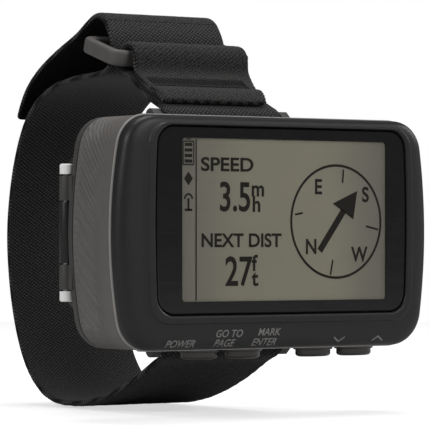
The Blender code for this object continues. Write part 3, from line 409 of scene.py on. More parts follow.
def gloss_border():
    """Back-printed acrylic: deep black with a clean gloss and faint fine scratches."""
    made, tree, face = shader("back printed acrylic", "161617", 0.12)
    place = mottle(tree, face, "131314", "1a1a1b", 9.0)
    stretch = node(tree, "ShaderNodeMapping", None, Vector=place, Scale=(300.0, 1000.0, 2400.0))
    haze = node(tree, "ShaderNodeTexNoise", None, Vector=stretch.outputs["Vector"], Scale=1.0, Detail=2.0)
    rough = node(tree, "ShaderNodeMapRange", None, Value=haze.outputs["Fac"], To_Min=0.1, To_Max=0.24)
    tree.links.new(rough.outputs["Result"], face.inputs["Roughness"])
    return made


screen_low, screen_high = (Vector(corner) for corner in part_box("lcd_module"))
SCREEN_X = ((screen_low.x + screen_high.x) / 2 - CASE_X) / MM + 0.4
SCREEN_Z = ((screen_low.z + screen_high.z) / 2 - CASE_Z) / MM + 0.1
SCREEN_HALF_X = 22.1
SCREEN_HALF_Z = 14.1
STRAIGHT = 5000.0
LENS_FRONT = 0.3
SIGHT = (SCREEN_X, SCREEN_Z)


def pane_line(half_x, half_z, corner, depth, bulge=LENS_BULGE, centre=(WINDOW_X, WINDOW_Z)):
    """Rounded outline that many mm behind the case's face, round the window's middle or another."""
    return [at(x, depth, z) for x, z in rounded_line(half_x, half_z, corner, bulge, 240, centre)]


border_lines = [
    pane_line(LENS_HALF_X, LENS_HALF_Z, 3.2, 1.5),
    pane_line(LENS_HALF_X, LENS_HALF_Z, 3.2, 0.9),
    pane_line(LENS_HALF_X, LENS_HALF_Z, 3.2, 0.42),
    pane_line(LENS_HALF_X - 0.12, LENS_HALF_Z - 0.12, 3.1, LENS_FRONT),
    pane_line(SCREEN_HALF_X, SCREEN_HALF_Z, 0.4, LENS_FRONT, STRAIGHT, SIGHT),
    pane_line(SCREEN_HALF_X, SCREEN_HALF_Z, 0.4, 0.47, STRAIGHT, SIGHT),
]
border = walled("lens_border", border_lines, ring=True)
settle(border, "root", gloss_border(), ["lens_window"])

# Screen: a reflective liquid crystal panel behind the lens, olive grey, with dark segments.
# Its polariser is a slightly grained film, so it reads matt.
FILM_DEPTH = 0.52


def polariser():
    """Reflective display film: olive grey, with painted shade that darkens it towards its left and right
    edges.
    """
    made, tree, face = shader("reflective display film", "8f8c7b", 0.5, specular=0.3)
    place = node(tree, "ShaderNodeTexCoord").outputs["Object"]
    centred = node(tree, "ShaderNodeMapping", None, Vector=place,
                   Location=-at(SCREEN_X, FILM_DEPTH, SCREEN_Z))
    across = node(tree, "ShaderNodeSeparateXYZ", None, Vector=centred.outputs["Vector"])
    side = node(tree, "ShaderNodeMath", {"operation": "ABSOLUTE"}, i0=across.outputs["X"])
    # Painted shade: the film's colour darkens to 77746a from 8 mm to 23 mm out from the screen's middle, at
    # both its left and right edges.
    edge = node(tree, "ShaderNodeMapRange", {"interpolation_type": "SMOOTHSTEP"}, Value=side.outputs[0],
                From_Min=8 * MM, From_Max=23 * MM)
    cloud = node(tree, "ShaderNodeTexNoise", None, Vector=place, Scale=1 / (14 * MM), Detail=1.0)
    slow = node(tree, "ShaderNodeMix", {"data_type": "RGBA"}, i0=cloud.outputs["Fac"], i6=linear("8b8877"),
                i7=linear("94917f"))
    painted_shade_tone = node(tree, "ShaderNodeMix", {"data_type": "RGBA"}, i0=edge.outputs["Result"], i6=slow.outputs[2],
                i7=linear("77746a"))
    tree.links.new(painted_shade_tone.outputs[2], face.inputs["Base Color"])
    grain(tree, face, place, 0.2, 0.004, 0.45, 0.6)
    return made


screen_lines = [pane_line(SCREEN_HALF_X + 0.6, SCREEN_HALF_Z + 0.6, 0.5, depth, STRAIGHT, SIGHT)
                for depth in (3.1, FILM_DEPTH)]
screen = walled("screen_film", screen_lines)
settle(screen, "root", polariser(), ["lcd_module"])

segment_ink, segment_tree, segment_face = shader("liquid crystal segments", "1d1a14", 0.5, specular=0.2)
mottle(segment_tree, segment_face, "1a1712", "221f18", 0.8)
SEGMENT_DEPTH = 0.49


def show(piece):
    """Move a flat figure back onto the screen and give it the segments' colour."""
    for vertex in piece.data.vertices:
        vertex.co.y = CASE_FRONT + SEGMENT_DEPTH * MM
    settle(piece, "root", segment_ink)


READINGS = [("speed_name", "SPEED", -16.95, 10.7, 2.3, 0.035, 1.26),
            ("speed", "3.5", -13.2, 3.8, 5.0, 0.022, 0.8),
            ("distance_name", "NEXT DIST", -16.95, -2.45, 2.3, 0.035, 1.06),
            ("distance", "27", -11.9, -9.15, 5.0, 0.022, 0.82),
            ("unit_m", "m", -6.3, 6.4, 2.7, 0.035, 0.98), ("unit_h", "h", -6.1, 3.7, 2.7, 0.035, 1.0),
            ("unit_f", "f", -6.1, -6.6, 2.7, 0.035, 1.0), ("unit_t", "t", -6.1, -9.2, 2.7, 0.035, 1.0),
            ("east", "E", 7.4, 6.9, 2.6, 0.035, 0.95), ("south", "S", 18.0, 5.6, 2.6, 0.035, 0.95),
            ("north", "N", 5.4, -3.7, 2.6, 0.035, 0.92), ("west", "W", 15.7, -5.1, 2.6, 0.035, 0.9)]
for key, words, x, z, height, heavy, wide in READINGS:
    show(lettering("reading_" + key, words, x, z, height, heavy=heavy, wide=wide))


def figure(name, outline, faces):
    """Flat figure on the screen from (x, z) points in mm."""
    mesh = bpy.data.meshes.new(name)
    mesh.from_pydata([at(x, SEGMENT_DEPTH, z) for x, z in outline], [], faces)
    show(placed(name, mesh))


def band(name, centre, outer, width, count=72, start=0.0, end=2 * math.pi):
    """Ring or part of one, as a flat band; outer is its (x, z) radii."""
    angles = np.linspace(start, end, count + 1)
    points = []
    for reach in (0.0, width):
        points += [(centre[0] + (outer[0] - reach) * math.cos(a),
                    centre[1] + (outer[1] - reach) * math.sin(a)) for a in angles]
    faces = [(i, i + 1, count + 2 + i, count + 1 + i) for i in range(count)]
    figure(name, points, faces)


def stroke(name, start, end, width):
    """Straight bar between two (x, z) points."""
    along = (Vector(end) - Vector(start)).normalized()
    side = Vector((-along.y, along.x)) * width / 2
    points = [Vector(start) + side, Vector(end) + side, Vector(end) - side, Vector(start) - side]
    figure(name, [tuple(p) for p in points], [(0, 1, 2, 3)])


DIAL = (12.3, 2.0)
band("dial_ring", DIAL, (10.15, 10.2), 0.45)
stroke("arrow_shaft", (8.6, -3.2), (13.9, 3.9), 1.25)
figure("arrow_head", [(17.0, 7.5), (11.5, 5.2), (16.1, 2.4)], [(0, 1, 2)])
TICKS = (("tick_top", (13.9, 11.3), (13.7, 8.9)), ("tick_right", (18.9, 1.2), (21.7, 0.6)),
         ("tick_bottom", (11.5, -4.8), (11.0, -7.5)), ("tick_left", (3.2, 3.2), (4.9, 3.5)))
for name, start, end in TICKS:
    stroke(name, start, end, 0.34)
stroke("status_line", (-17.9, SCREEN_Z - SCREEN_HALF_Z + 0.2), (-17.9, SCREEN_Z + SCREEN_HALF_Z - 0.2), 0.25)
for i in range(4):
    stroke("battery_bar_%d" % (i + 1), (-20.3, 12.3 + 0.95 * i), (-18.7, 12.3 + 0.95 * i), 0.55)
battery_frame = [((-20.6, 11.7), (-18.4, 11.7)), ((-20.6, 15.7), (-18.4, 15.7)),
                 ((-20.6, 11.7), (-20.6, 15.7)), ((-18.4, 11.7), (-18.4, 15.7)),
                 ((-20.0, 16.1), (-19.0, 16.1))]
for i, (start, end) in enumerate(battery_frame, 1):
    stroke("battery_edge_%d" % i, start, end, 0.22)
figure("fix_diamond", [(-19.5, 10.5), (-18.6, 9.3), (-19.5, 8.1), (-20.4, 9.3)], [(0, 1, 2, 3)])
stroke("signal_mast", (-19.5, 3.9), (-19.5, 5.9), 0.4)
band("signal_wave", (-19.5, 5.6), (1.0, 1.2), 0.35, 12, math.radians(10), math.radians(170))
stroke("signal_foot", (-20.3, 3.9), (-18.7, 3.9), 0.4)

# Clear pane: the part of the acrylic lens that is left unprinted, over the screen.
# It is all but invisible, and only its gloss shows.
PANE_GAP = 0.02
pane_lines = [pane_line(SCREEN_HALF_X - PANE_GAP, SCREEN_HALF_Z - PANE_GAP, 0.38, depth, STRAIGHT, SIGHT)
              for depth in (0.45, 0.34)]
clear_pane = walled("lens_pane", pane_lines)
clear, clear_tree, clear_face = shader("clear acrylic", "0c0c0c", 0.06)
clear_face.inputs["Alpha"].default_value = 0.06
haze = node(clear_tree, "ShaderNodeTexNoise", None,
            Vector=node(clear_tree, "ShaderNodeTexCoord").outputs["Object"], Scale=400.0)
gloss = node(clear_tree, "ShaderNodeMapRange", None, Value=haze.outputs["Fac"], To_Min=0.04, To_Max=0.09)
clear_tree.links.new(gloss.outputs["Result"], clear_face.inputs["Roughness"])
settle(clear_pane, "root", clear)

# Middle housing: grey glass-filled nylon band between the two shells.
# Diagonal ribs moulded on its short sides give grip, and fade out along the top and bottom.
band_low, band_high = (Vector(corner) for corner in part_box("mid_housing"))
BAND_START = (band_low.y - CASE_FRONT) / MM
BAND_END = (band_high.y - CASE_FRONT) / MM
BAND_POINTS = 760
RIB_PITCH = 1.2
RIB_DEPTH = 0.5
RIB_LEAN = 1.0
RIBS_FROM = 25.0
BAND_WALL = 1.4


def ribbed_line(depth):
    """One line of the band's outside with the ribs cut into it."""
    share = (depth - BAND_START) / (BAND_END - BAND_START)
    fade = min(1.0, max(0.0, (share - 0.12) / 0.5)) * min(1.0, max(0.0, (0.98 - share) / 0.05))
    points = []
    for x, z in case_line(0.0, BAND_POINTS):
        reach = min(1.0, max(0.0, (abs(x) - RIBS_FROM) / 3.0))
        phase = (z - (depth - BAND_START) * RIB_LEAN) / RIB_PITCH
        wave = 0.5 - 0.5 * math.cos(2 * math.pi * phase)
        sink = RIB_DEPTH * fade * reach * wave ** 2
        outward = Vector((x * 0.35, z)).normalized() if abs(x) < 28 else Vector((x, z * 0.25)).normalized()
        points.append(at(x - outward.x * sink, depth, z - outward.y * sink))
    return points


depths = list(np.linspace(BAND_START, BAND_END, 46))
inside = [[at(x, depth, z) for x, z in case_line(BAND_WALL, BAND_POINTS)] for depth in (BAND_END, BAND_START)]
grip_band = walled("grip_band", [ribbed_line(d) for d in depths] + inside, ring=True, angle=50.0)


def grey_moulding(name, dark, light, grit_mm=0.22):
    """Glass-filled nylon: warm grey, dry and slightly sparkling from its grain."""
    made, tree, face = shader(name, light, 0.6)
    place = mottle(tree, face, dark, light, 3.0)
    grain(tree, face, place, grit_mm, 0.02, 0.48, 0.68)
    return made


grey_shell = grey_moulding("moulded grey nylon", "575452", "64615e")
settle(grip_band, "root", grey_shell, ["mid_housing"])
KEY_HOLE = (4.25, 2.75)
KEYS = ["power_key", "page_key", "enter_key", "down_key", "up_key"]
for key in KEYS:
    low, high = (Vector(corner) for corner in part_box(key))
    bpy.ops.object.select_all(action="DESELECT")
    bpy.ops.mesh.primitive_cylinder_add(vertices=48, radius=1.0, depth=6 * MM,
                                        location=((low.x + high.x) / 2, (low.y + high.y) / 2,
                                                  CASE_Z - CASE_HALF_Z * MM))
    drill = bpy.context.object
    drill.scale = (KEY_HOLE[0] * MM, KEY_HOLE[1] * MM, 1)
    bpy.ops.object.transform_apply(location=False, rotation=False, scale=True)
    hole = grip_band.modifiers.new("key_hole", "BOOLEAN")
    hole.operation = "DIFFERENCE"
    hole.object = drill
    bpy.context.view_layer.objects.active = grip_band
    bpy.ops.object.modifier_apply(modifier="key_hole")
    bpy.data.objects.remove(drill)

# Seam bead: thin grey lip that closes the joint between the front shell and the band. It is moulded with the
# band and stands 0.2 mm proud; its pale grey, much lighter than the band, is a painted highlight that stands
# for the line of light along the seam.
BEAD = [(0.7, BAND_START - 0.27), (0.0, BAND_START - 0.27), (-0.17, BAND_START - 0.16),
        (-0.2, BAND_START + 0.02), (-0.08, BAND_START + 0.16), (0.7, BAND_START + 0.16)]
seam_bead_painted_highlight = walled("seam_bead_painted_highlight", [[at(x, depth, z) for x, z in case_line(inset)] for inset, depth in BEAD],
                   ring=True)
# Painted highlight: the lip's pale grey 8f8d8a to 9d9b98 puts the seam's line of light into its colour.
settle(seam_bead_painted_highlight, "root", grey_moulding("grey nylon lip with painted highlight", "8f8d8a", "9d9b98", 0.3))

# Keys: zinc-coloured metallised caps on rubber stems, pressed into the bottom side.
# Each is a stepped oval with a crowned top and a brushed finish that runs along it.


def key_metal():
    """Metallised plastic: fine lines along the cap under a thin lacquer."""
    made, tree, face = shader("metallised key cap", "4a4846", 0.3, metallic=0.8)
    place = mottle(tree, face, "3e3c3a", "545250", 4.0)
    lines = node(tree, "ShaderNodeMapping", None, Vector=place, Scale=(200.0, 6000.0, 6000.0))
    fine = node(tree, "ShaderNodeTexNoise", None, Vector=lines.outputs["Vector"], Scale=1.0, Detail=2.0)
    bump = node(tree, "ShaderNodeBump", None, Height=fine.outputs["Fac"], Strength=0.6, Distance=0.02 * MM)
    tree.links.new(bump.outputs["Normal"], face.inputs["Normal"])
    return made


cap_finish = key_metal()
CAP_HALF = (4.0, 2.5)
CAP_SUNK = 1.4
for key in KEYS:
    low, high = (Vector(corner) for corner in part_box(key))
    middle = Vector(((low.x + high.x) / 2, (low.y + high.y) / 2, low.z))
    face_z = CASE_Z - CASE_HALF_Z * MM
    proud = face_z - low.z
    bpy.ops.object.select_all(action="DESELECT")
    bpy.ops.mesh.primitive_cylinder_add(vertices=72, radius=1.0, depth=1.0, end_fill_type="NGON",
                                        location=(0, 0, 0))
    cap = bpy.context.object
    cap.name = key.replace("_key", "_cap")
    tall = CAP_SUNK * MM + 0.35 * proud
    cap.scale = (CAP_HALF[0] * MM, CAP_HALF[1] * MM, tall)
    cap.location = (middle.x, middle.y, face_z + CAP_SUNK * MM - tall / 2)
    bpy.ops.object.transform_apply(location=True, rotation=False, scale=True)
    bpy.ops.object.mode_set(mode="EDIT")
    bpy.ops.mesh.select_mode(type="FACE")
    bpy.ops.mesh.select_all(action="DESELECT")
    bpy.ops.object.mode_set(mode="OBJECT")
    for face in cap.data.polygons:
        face.select = face.normal.z < -0.9
    bpy.ops.object.mode_set(mode="EDIT")
    bpy.ops.mesh.inset(thickness=0.38 * MM)
    bpy.ops.mesh.extrude_region_move(TRANSFORM_OT_translate={"value": (0, 0, -0.45 * proud)})
    bpy.ops.mesh.inset(thickness=0.3 * MM)
    bpy.ops.transform.translate(value=(0, 0, -0.14 * proud))
    bpy.ops.mesh.inset(thickness=0.5 * MM)
    bpy.ops.transform.translate(value=(0, 0, -0.06 * proud))
    bpy.ops.object.mode_set(mode="OBJECT")
    soften = cap.modifiers.new("soften", "BEVEL")
    soften.width = min(0.12 * MM, 0.12 * proud)
    soften.segments = 2
    soften.limit_method = "ANGLE"
    bpy.ops.object.modifier_apply(modifier="soften")
    bpy.ops.object.shade_smooth_by_angle(angle=math.radians(40))
    settle(cap, key, cap_finish, [key])

# Rear cover, battery door, buckle ring and port plug: moulded pieces that close the case.
# Each keeps its made shape, with its sharp edges eased as a mould leaves them.


def eased(node_name, name, edge, angle=30.0):
    """Copy of a CAD piece with its edges rounded by edge mm and its curved faces smooth."""
    bpy.ops.object.select_all(action="DESELECT")
    piece = placed(name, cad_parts[node_name].data.copy())
    piece.select_set(True)
    bpy.context.view_layer.objects.active = piece
    bpy.ops.object.mode_set(mode="EDIT")
    bpy.ops.mesh.select_all(action="SELECT")
    bpy.ops.mesh.remove_doubles(threshold=0.001 * MM)
    bpy.ops.mesh.dissolve_limited(angle_limit=math.radians(0.5))
    bpy.ops.object.mode_set(mode="OBJECT")
    ease = piece.modifiers.new("ease", "BEVEL")
    ease.width = edge * MM
    ease.segments = 2
    ease.limit_method = "ANGLE"
    ease.angle_limit = math.radians(angle)
    bpy.ops.object.modifier_apply(modifier="ease")
    bpy.ops.object.shade_smooth_by_angle(angle=math.radians(28))
    return piece


rear_shell = grey_moulding("moulded dark nylon", "383736", "434240")
settle(eased("rear_cover", "back_shell", 0.18), "root", rear_shell, ["rear_cover"])
settle(eased("battery_door", "door_panel", 0.22), "battery_door", black_moulding(), ["battery_door"])
ring_plastic = grey_moulding("moulded grey acetal", "4e4b4a", "5a5755", 0.16)
settle(eased("strap_ring", "buckle_ring", 0.25), "strap_ring", ring_plastic, ["strap_ring"])


def rubber_skin(name="moulded black rubber"):
    """Silicone rubber: near black, dry, with the mould's fine matt grain."""
    made, tree, face = shader(name, "1f1f20", 0.72, specular=0.3)
    place = mottle(tree, face, "1a1a1b", "252526", 2.0)
    grain(tree, face, place, 0.18, 0.015, 0.62, 0.82)
    return made


rubber = rubber_skin()
settle(eased("port_cap", "port_plug", 0.15), "port_cap", rubber, ["port_cap"])

# Fastenings: stainless screws, bars, pin and contacts, turned or pressed and left bright.
# All share one faint drawn grain. The gaskets, seals and key domes between them are moulded rubber.


def bright_steel():
    """Passivated stainless steel: clean grey shine with a faint drawn grain."""
    made, tree, face = shader("turned stainless steel", "b9b8b4", 0.28, metallic=1.0)
    place = mottle(tree, face, "a9a8a4", "c4c3bf", 2.0)
    lines = node(tree, "ShaderNodeMapping", None, Vector=place, Scale=(9000.0, 500.0, 500.0))
    fine = node(tree, "ShaderNodeTexNoise", None, Vector=lines.outputs["Vector"], Scale=1.0, Detail=2.0)
    rough = node(tree, "ShaderNodeMapRange", None, Value=fine.outputs["Fac"], To_Min=0.2, To_Max=0.38)
    tree.links.new(rough.outputs["Result"], face.inputs["Roughness"])
    return made


def dress(material, *names):
    """Give CAD pieces that keep their shape their finish."""
    for name in names:
        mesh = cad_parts[name].data
        mesh.materials.clear()
        mesh.materials.append(material)


steel = bright_steel()
dress(steel, "strap_bar_upper", "strap_bar_lower", "hinge_pin", "battery_plate", "battery_bridge",
      "battery_spring", "shield_can", "case_screw_1", "case_screw_2", "case_screw_3", "case_screw_4",
      "door_screw", "data_port")
dress(rubber, "front_gasket", "rear_gasket", "key_gasket", "lens_seal", "door_seal", "power_dome",
      "page_dome", "enter_dome", "down_dome", "up_dome")

# Hinge caps: white acetal plugs, turned and pressed over both ends of the hinge pin.
# They have a soft waxy shine, and the light guide behind the screen has the same white.
white, white_tree, white_face = shader("turned white acetal", "f4f4f2", 0.45)
white_place = mottle(white_tree, white_face, "f0f0ee", "f8f8f7", 1.5)
grain(white_tree, white_face, white_place, 0.15, 0.006, 0.4, 0.5)
dress(white, "hinge_cap_upper", "hinge_cap_lower", "backlight")

# Inside: battery tray, cells, boards and chips, seen with the door open.
# The tray is the rear shell's nylon, the cells have a printed sleeve, and the boards are varnished.
dress(rear_shell, "battery_tray")


def cell_sleeve():
    """Shrink sleeve on an alkaline cell: two plain bands of colour with a satin film."""
    made, tree, face = shader("printed cell sleeve", "35383c", 0.35)
    place = node(tree, "ShaderNodeTexCoord").outputs["Object"]
    split = node(tree, "ShaderNodeSeparateXYZ", None, Vector=place)
    side = node(tree, "ShaderNodeMath", {"operation": "GREATER_THAN"}, i0=split.outputs["X"], i1=0.006)
    colour = node(tree, "ShaderNodeMix", {"data_type": "RGBA"}, i0=side.outputs[0], i6=linear("3a3e42"),
                  i7=linear("8a8f93"))
    tree.links.new(colour.outputs[2], face.inputs["Base Color"])
    wrinkle = node(tree, "ShaderNodeTexNoise", None, Vector=place, Scale=400.0)
    bump = node(tree, "ShaderNodeBump", None, Height=wrinkle.outputs["Fac"], Strength=1.0, Distance=0.02 * MM)
    tree.links.new(bump.outputs["Normal"], face.inputs["Normal"])
    return made


dress(cell_sleeve(), "battery_1", "battery_2", "backup_cell")
INSIDES = (("varnished circuit board", "1f4a33", 0.35, "1a402c", "245338", 3.0, ("main_board", "key_board")),
           ("polyimide flex", "8a5a22", 0.4, "7d501d", "966428", 2.0, ("display_flex",)),
           ("moulded epoxy", "1b1b1c", 0.55, "171718", "212122", 1.0,
            ("processor", "memory_chip", "compass_sensor", "beeper")),
           ("fired ceramic", "c9c0ad", 0.6, "bfb6a2", "d2c9b7", 1.5, ("patch_antenna", "clock_crystal")))
for kind, base, rough, dark, light, scale_mm, names in INSIDES:
    inner, inner_tree, inner_face = shader(kind, base, rough)
    mottle(inner_tree, inner_face, dark, light, scale_mm)
    dress(inner, *names)

# Strap: elastic webbing 25.4 mm wide and 1.2 mm thick, brushed loop pile outside, twill inside.
# One length runs from the lower bar round the wrist and through the ring; the other holds the ring.
STRAP_WIDTH = 25.4
STRAP_THICK = 1.2
bar_low, bar_high = (Vector(corner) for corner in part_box("strap_bar_upper"))
BAR_DEPTH = ((bar_low.y + bar_high.y) / 2 - CASE_FRONT) / MM
BAR_RISE = ((bar_low.z + bar_high.z) / 2 - CASE_Z) / MM
EYE = (bar_high.z - bar_low.z) / MM / 2 + 0.9
RING_AT = (BAR_DEPTH + 11.4, BAR_RISE * 1.54)
RING_EYE = 2.648
STRAP_COLUMNS = 16


def arc(centre, radius, start, end, count):
    """(depth, z) points on an arc, angles in degrees from straight back towards up."""
    return [(centre[0] + radius * math.cos(math.radians(start + (end - start) * i / count)),
             centre[1] + radius * math.sin(math.radians(start + (end - start) * i / count)))
            for i in range(count + 1)]


def by_bar(points):
    """(mm behind the strap bars, height as a share of the bars' height) to (depth, z)."""
    return [(BAR_DEPTH + y, BAR_RISE * share) for y, share in points]


def by_ring(points):
    """(mm behind, mm above) the ring's near bar to (depth, z)."""
    return [(RING_AT[0] + y, RING_AT[1] + z) for y, z in points]


def smooth_line(points, steps):
    """Curve through all the (depth, z) points."""
    ends = [points[0]] + list(points) + [points[-1]]
    line = []
    for a, b, c, d in zip(ends, ends[1:], ends[2:], ends[3:]):
        a, b, c, d = (np.array(p) for p in (a, b, c, d))
        for t in np.arange(steps) / steps:
            line.append(0.5 * (2 * b + (c - a) * t + (2 * a - 5 * b + 4 * c - d) * t ** 2
                               + (3 * b - a - 3 * c + d) * t ** 3))
    line.append(np.array(points[-1]))
    return np.array(line)


def even(line, step):
    """The same curve with points every step mm or so."""
    along = np.concatenate([[0], np.cumsum(np.hypot(*np.diff(line, axis=0).T))])
    places = np.linspace(0, along[-1], int(round(along[-1] / step)) + 1)
    return np.column_stack([np.interp(places, along, line[:, k]) for k in (0, 1)])


def webbing(name, line, right_side_out, underside, square_ends=(), step=1.5):
    """Strap drawn along a line: an edge extruded step by step, thickened, then rounded.
    Its UV map holds mm along and across, so that weave and stitches follow it."""
    path = [at(0, y, z) for y, z in even(line, step)]
    first = path[1] - path[0]
    bpy.ops.object.select_all(action="DESELECT")
    bpy.ops.mesh.primitive_grid_add(x_subdivisions=STRAP_COLUMNS, y_subdivisions=1, size=1.0)
    strip = bpy.context.object
    strip.name = name
    strip.scale = (STRAP_WIDTH * MM, first.length, 1)
    strip.rotation_euler = (math.atan2(first.z, first.y), 0, 0)
    strip.location = (path[0] + path[1]) / 2
    bpy.ops.object.transform_apply(location=True, rotation=True, scale=True)
    bpy.ops.object.mode_set(mode="EDIT")
    bpy.ops.mesh.select_mode(type="VERT")
    bpy.ops.mesh.select_all(action="DESELECT")
    bpy.ops.object.mode_set(mode="OBJECT")
    for vertex in strip.data.vertices:
        vertex.select = (vertex.co - path[1]).dot(first) > -0.1 * first.length ** 2
    bpy.ops.object.mode_set(mode="EDIT")
    bpy.ops.mesh.select_mode(type="EDGE")
    for here, there in zip(path[1:], path[2:]):
        bpy.ops.mesh.extrude_region_move(TRANSFORM_OT_translate={"value": there - here})
    bpy.ops.mesh.select_all(action="SELECT")
    bpy.ops.mesh.normals_make_consistent(inside=False)
    bpy.ops.object.mode_set(mode="OBJECT")
    mesh = strip.data
    nodes = np.array(path)
    along = np.concatenate([[0], np.cumsum(np.linalg.norm(np.diff(nodes, axis=0), axis=1))])
    nearest = [int(np.argmin(np.hypot(nodes[:, 1] - v.co.y, nodes[:, 2] - v.co.z)))
               for v in mesh.vertices]
    mapped = mesh.uv_layers[0] if mesh.uv_layers else mesh.uv_layers.new(name="along")
    mapped.name = "along"
    for loop in mesh.loops:
        spot = mesh.vertices[loop.vertex_index].co
        mapped.data[loop.index].uv = (along[nearest[loop.vertex_index]] / MM, (spot.x - CASE_X) / MM)
    for material in (brushed, underside, edging):
        mesh.materials.append(material)
    thick = strip.modifiers.new("thick", "SOLIDIFY")
    thick.thickness = STRAP_THICK * MM
    thick.offset = 0.0
    thick.use_even_offset = True
    bpy.ops.object.modifier_apply(modifier="thick")
    crease = mesh.attributes.new("crease_edge", "FLOAT", "EDGE")
    for end in square_ends:
        tip, onward = path[end], (path[end] - path[end + 1 if end == 0 else end - 1]).normalized()
        for edge in mesh.edges:
            ends = [abs((mesh.vertices[v].co - tip).dot(onward)) for v in edge.vertices]
            reach = [abs((mesh.vertices[v].co - tip).yz.length) for v in edge.vertices]
            if max(ends) < 0.1 * MM and max(reach) < STRAP_THICK * MM:
                crease.data[edge.index].value = 1.0
    travel = np.gradient(nodes, axis=0)
    turn = 1 if right_side_out else -1
    for face in mesh.polygons:
        row = int(np.argmin(np.hypot(nodes[:, 1] - face.center.y, nodes[:, 2] - face.center.z)))
        out = Vector((0, travel[row][2], -travel[row][1])).normalized() * turn
        facing = face.normal.dot(out)
        face.material_index = 0 if facing > 0.5 else 1 if facing < -0.5 else 2
    rounded = strip.modifiers.new("rounded", "SUBSURF")
    rounded.levels = 2
    rounded.render_levels = 2
    bpy.ops.object.modifier_apply(modifier="rounded")
    bpy.ops.object.mode_set(mode="EDIT")
    bpy.ops.mesh.select_all(action="SELECT")
    bpy.ops.mesh.normals_make_consistent(inside=False)
    bpy.ops.object.mode_set(mode="OBJECT")
    mesh.shade_smooth()
    mesh.set_sharp_from_angle(angle=math.radians(60))
    return strip


def pile(strip, faces, height):
    """Raise one side of a strap into small tufts."""
    group = strip.vertex_groups.new(name="pile")
    chosen = {v for face in strip.data.polygons if face.material_index in faces for v in face.vertices}
    group.add(sorted(chosen), 1.0, "REPLACE")
    cloud = bpy.data.textures.new("tufts", "CLOUDS")
    cloud.noise_scale = 1.3 * MM
    cloud.noise_depth = 2
    tufts = strip.modifiers.new("tufts", "DISPLACE")
    tufts.texture = cloud
    tufts.texture_coords = "LOCAL"
    tufts.vertex_group = "pile"
    tufts.strength = height * MM
    tufts.mid_level = 0.5
    bpy.context.view_layer.objects.active = strip
    bpy.ops.object.modifier_apply(modifier="tufts")
    strip.vertex_groups.clear()


def cloth(name, dark, light, pitch, lean, bump_mm, fluff_share, rough=0.85, sheen=0.08):
    """Woven or brushed nylon: slanting rows of short yarns pitch mm apart, partly hidden by fluff."""
    made, tree, face = shader(name, light, rough, specular=0.15)
    sheet = node(tree, "ShaderNodeUVMap", {"uv_map": "along"}).outputs["UV"]
    fluff = node(tree, "ShaderNodeTexNoise", {"noise_dimensions": "2D"}, Vector=sheet, Scale=1.1 / pitch,
                 Detail=4.0, Roughness=0.75)
    rows = []
    for turn, gap in ((lean, pitch), (lean - 70, pitch * 1.15)):
        turned = node(tree, "ShaderNodeMapping", None, Vector=sheet, Rotation=(0, 0, math.radians(turn)))
        rows.append(node(tree, "ShaderNodeTexWave", {"wave_profile": "SIN", "bands_direction": "X"},
                         Vector=turned.outputs["Vector"], Scale=0.314 / gap, Distortion=1.2,
                         Detail=1.0, Detail_Scale=2.0))
    crossed = node(tree, "ShaderNodeMath", {"operation": "MULTIPLY"}, i0=rows[0].outputs["Fac"],
                   i1=rows[1].outputs["Fac"])
    height = node(tree, "ShaderNodeMix", {"data_type": "FLOAT"}, i0=fluff_share, i2=crossed.outputs[0],
                  i3=fluff.outputs["Fac"])
    spread = node(tree, "ShaderNodeMapRange", None, Value=height.outputs[0],
                  From_Min=0.12 + 0.22 * fluff_share, From_Max=0.62 + 0.02 * fluff_share)
    colour = node(tree, "ShaderNodeMix", {"data_type": "RGBA"}, i0=spread.outputs["Result"], i6=linear(dark),
                  i7=linear(light))
    tree.links.new(colour.outputs[2], face.inputs["Base Color"])
    bump = node(tree, "ShaderNodeBump", None, Height=spread.outputs["Result"], Strength=0.8,
                Distance=bump_mm * MM)
    tree.links.new(bump.outputs["Normal"], face.inputs["Normal"])
    face.inputs["Sheen Weight"].default_value = sheen
    face.inputs["Sheen Roughness"].default_value = 0.4
    return made


twill = cloth("twill woven nylon", "161616", "4c4c4c", 0.5, 38.0, 0.06, 0.5)
hook_tape = cloth("hook tape", "020202", "121212", 0.7, 45.0, 0.2, 0.2, 0.95, 0.0)
brushed = cloth("brushed loop pile", "090909", "424241", 0.52, 38.0, 0.1, 0.74)
edging = cloth("overlocked edge yarn", "121212", "484847", 0.6, 85.0, 0.12, 0.25)

wrist_start = [(BAR_DEPTH + 5.2, -BAR_RISE - 1.3), (BAR_DEPTH + 3.2, -BAR_RISE - 0.1)]
wrist_points = (
    wrist_start + arc((BAR_DEPTH, -BAR_RISE), EYE, 62, 236, 9)
    + by_bar([(2.2, -1.12), (7.4, -1.25), (14.4, -1.39), (21.2, -1.485), (28.1, -1.535), (36.6, -1.525),
              (42.9, -1.39), (47.8, -1.125), (51.2, -0.73), (53.0, -0.29), (53.2, 0.125), (51.2, 0.6),
              (47.4, 1.0), (42.1, 1.235), (35.2, 1.36), (27.6, 1.405)])
    + by_ring([(9.6, -2.4), (6.3, -1.5), (5.1, 0.9), (5.3, 3.9), (7.35, 7.05)]))
tail_points = (by_ring([(8.8, 8.2), (10.5, 8.45), (13.2, 7.3)])
               + by_bar([(28.6, 1.785), (34.6, 1.67), (40.6, 1.535), (45.0, 1.395), (47.6, 1.26),
                         (49.9, 1.06)]))
whole_line = smooth_line(wrist_points + tail_points, 3)
FOLD_AT = 3 * len(wrist_points)
wrist_line = whole_line[:FOLD_AT - 2]
tail_line = whole_line[FOLD_AT - 3:]
short_start = [(BAR_DEPTH + 5.2, BAR_RISE + 1.55), (BAR_DEPTH + 3.2, BAR_RISE + 0.1)]
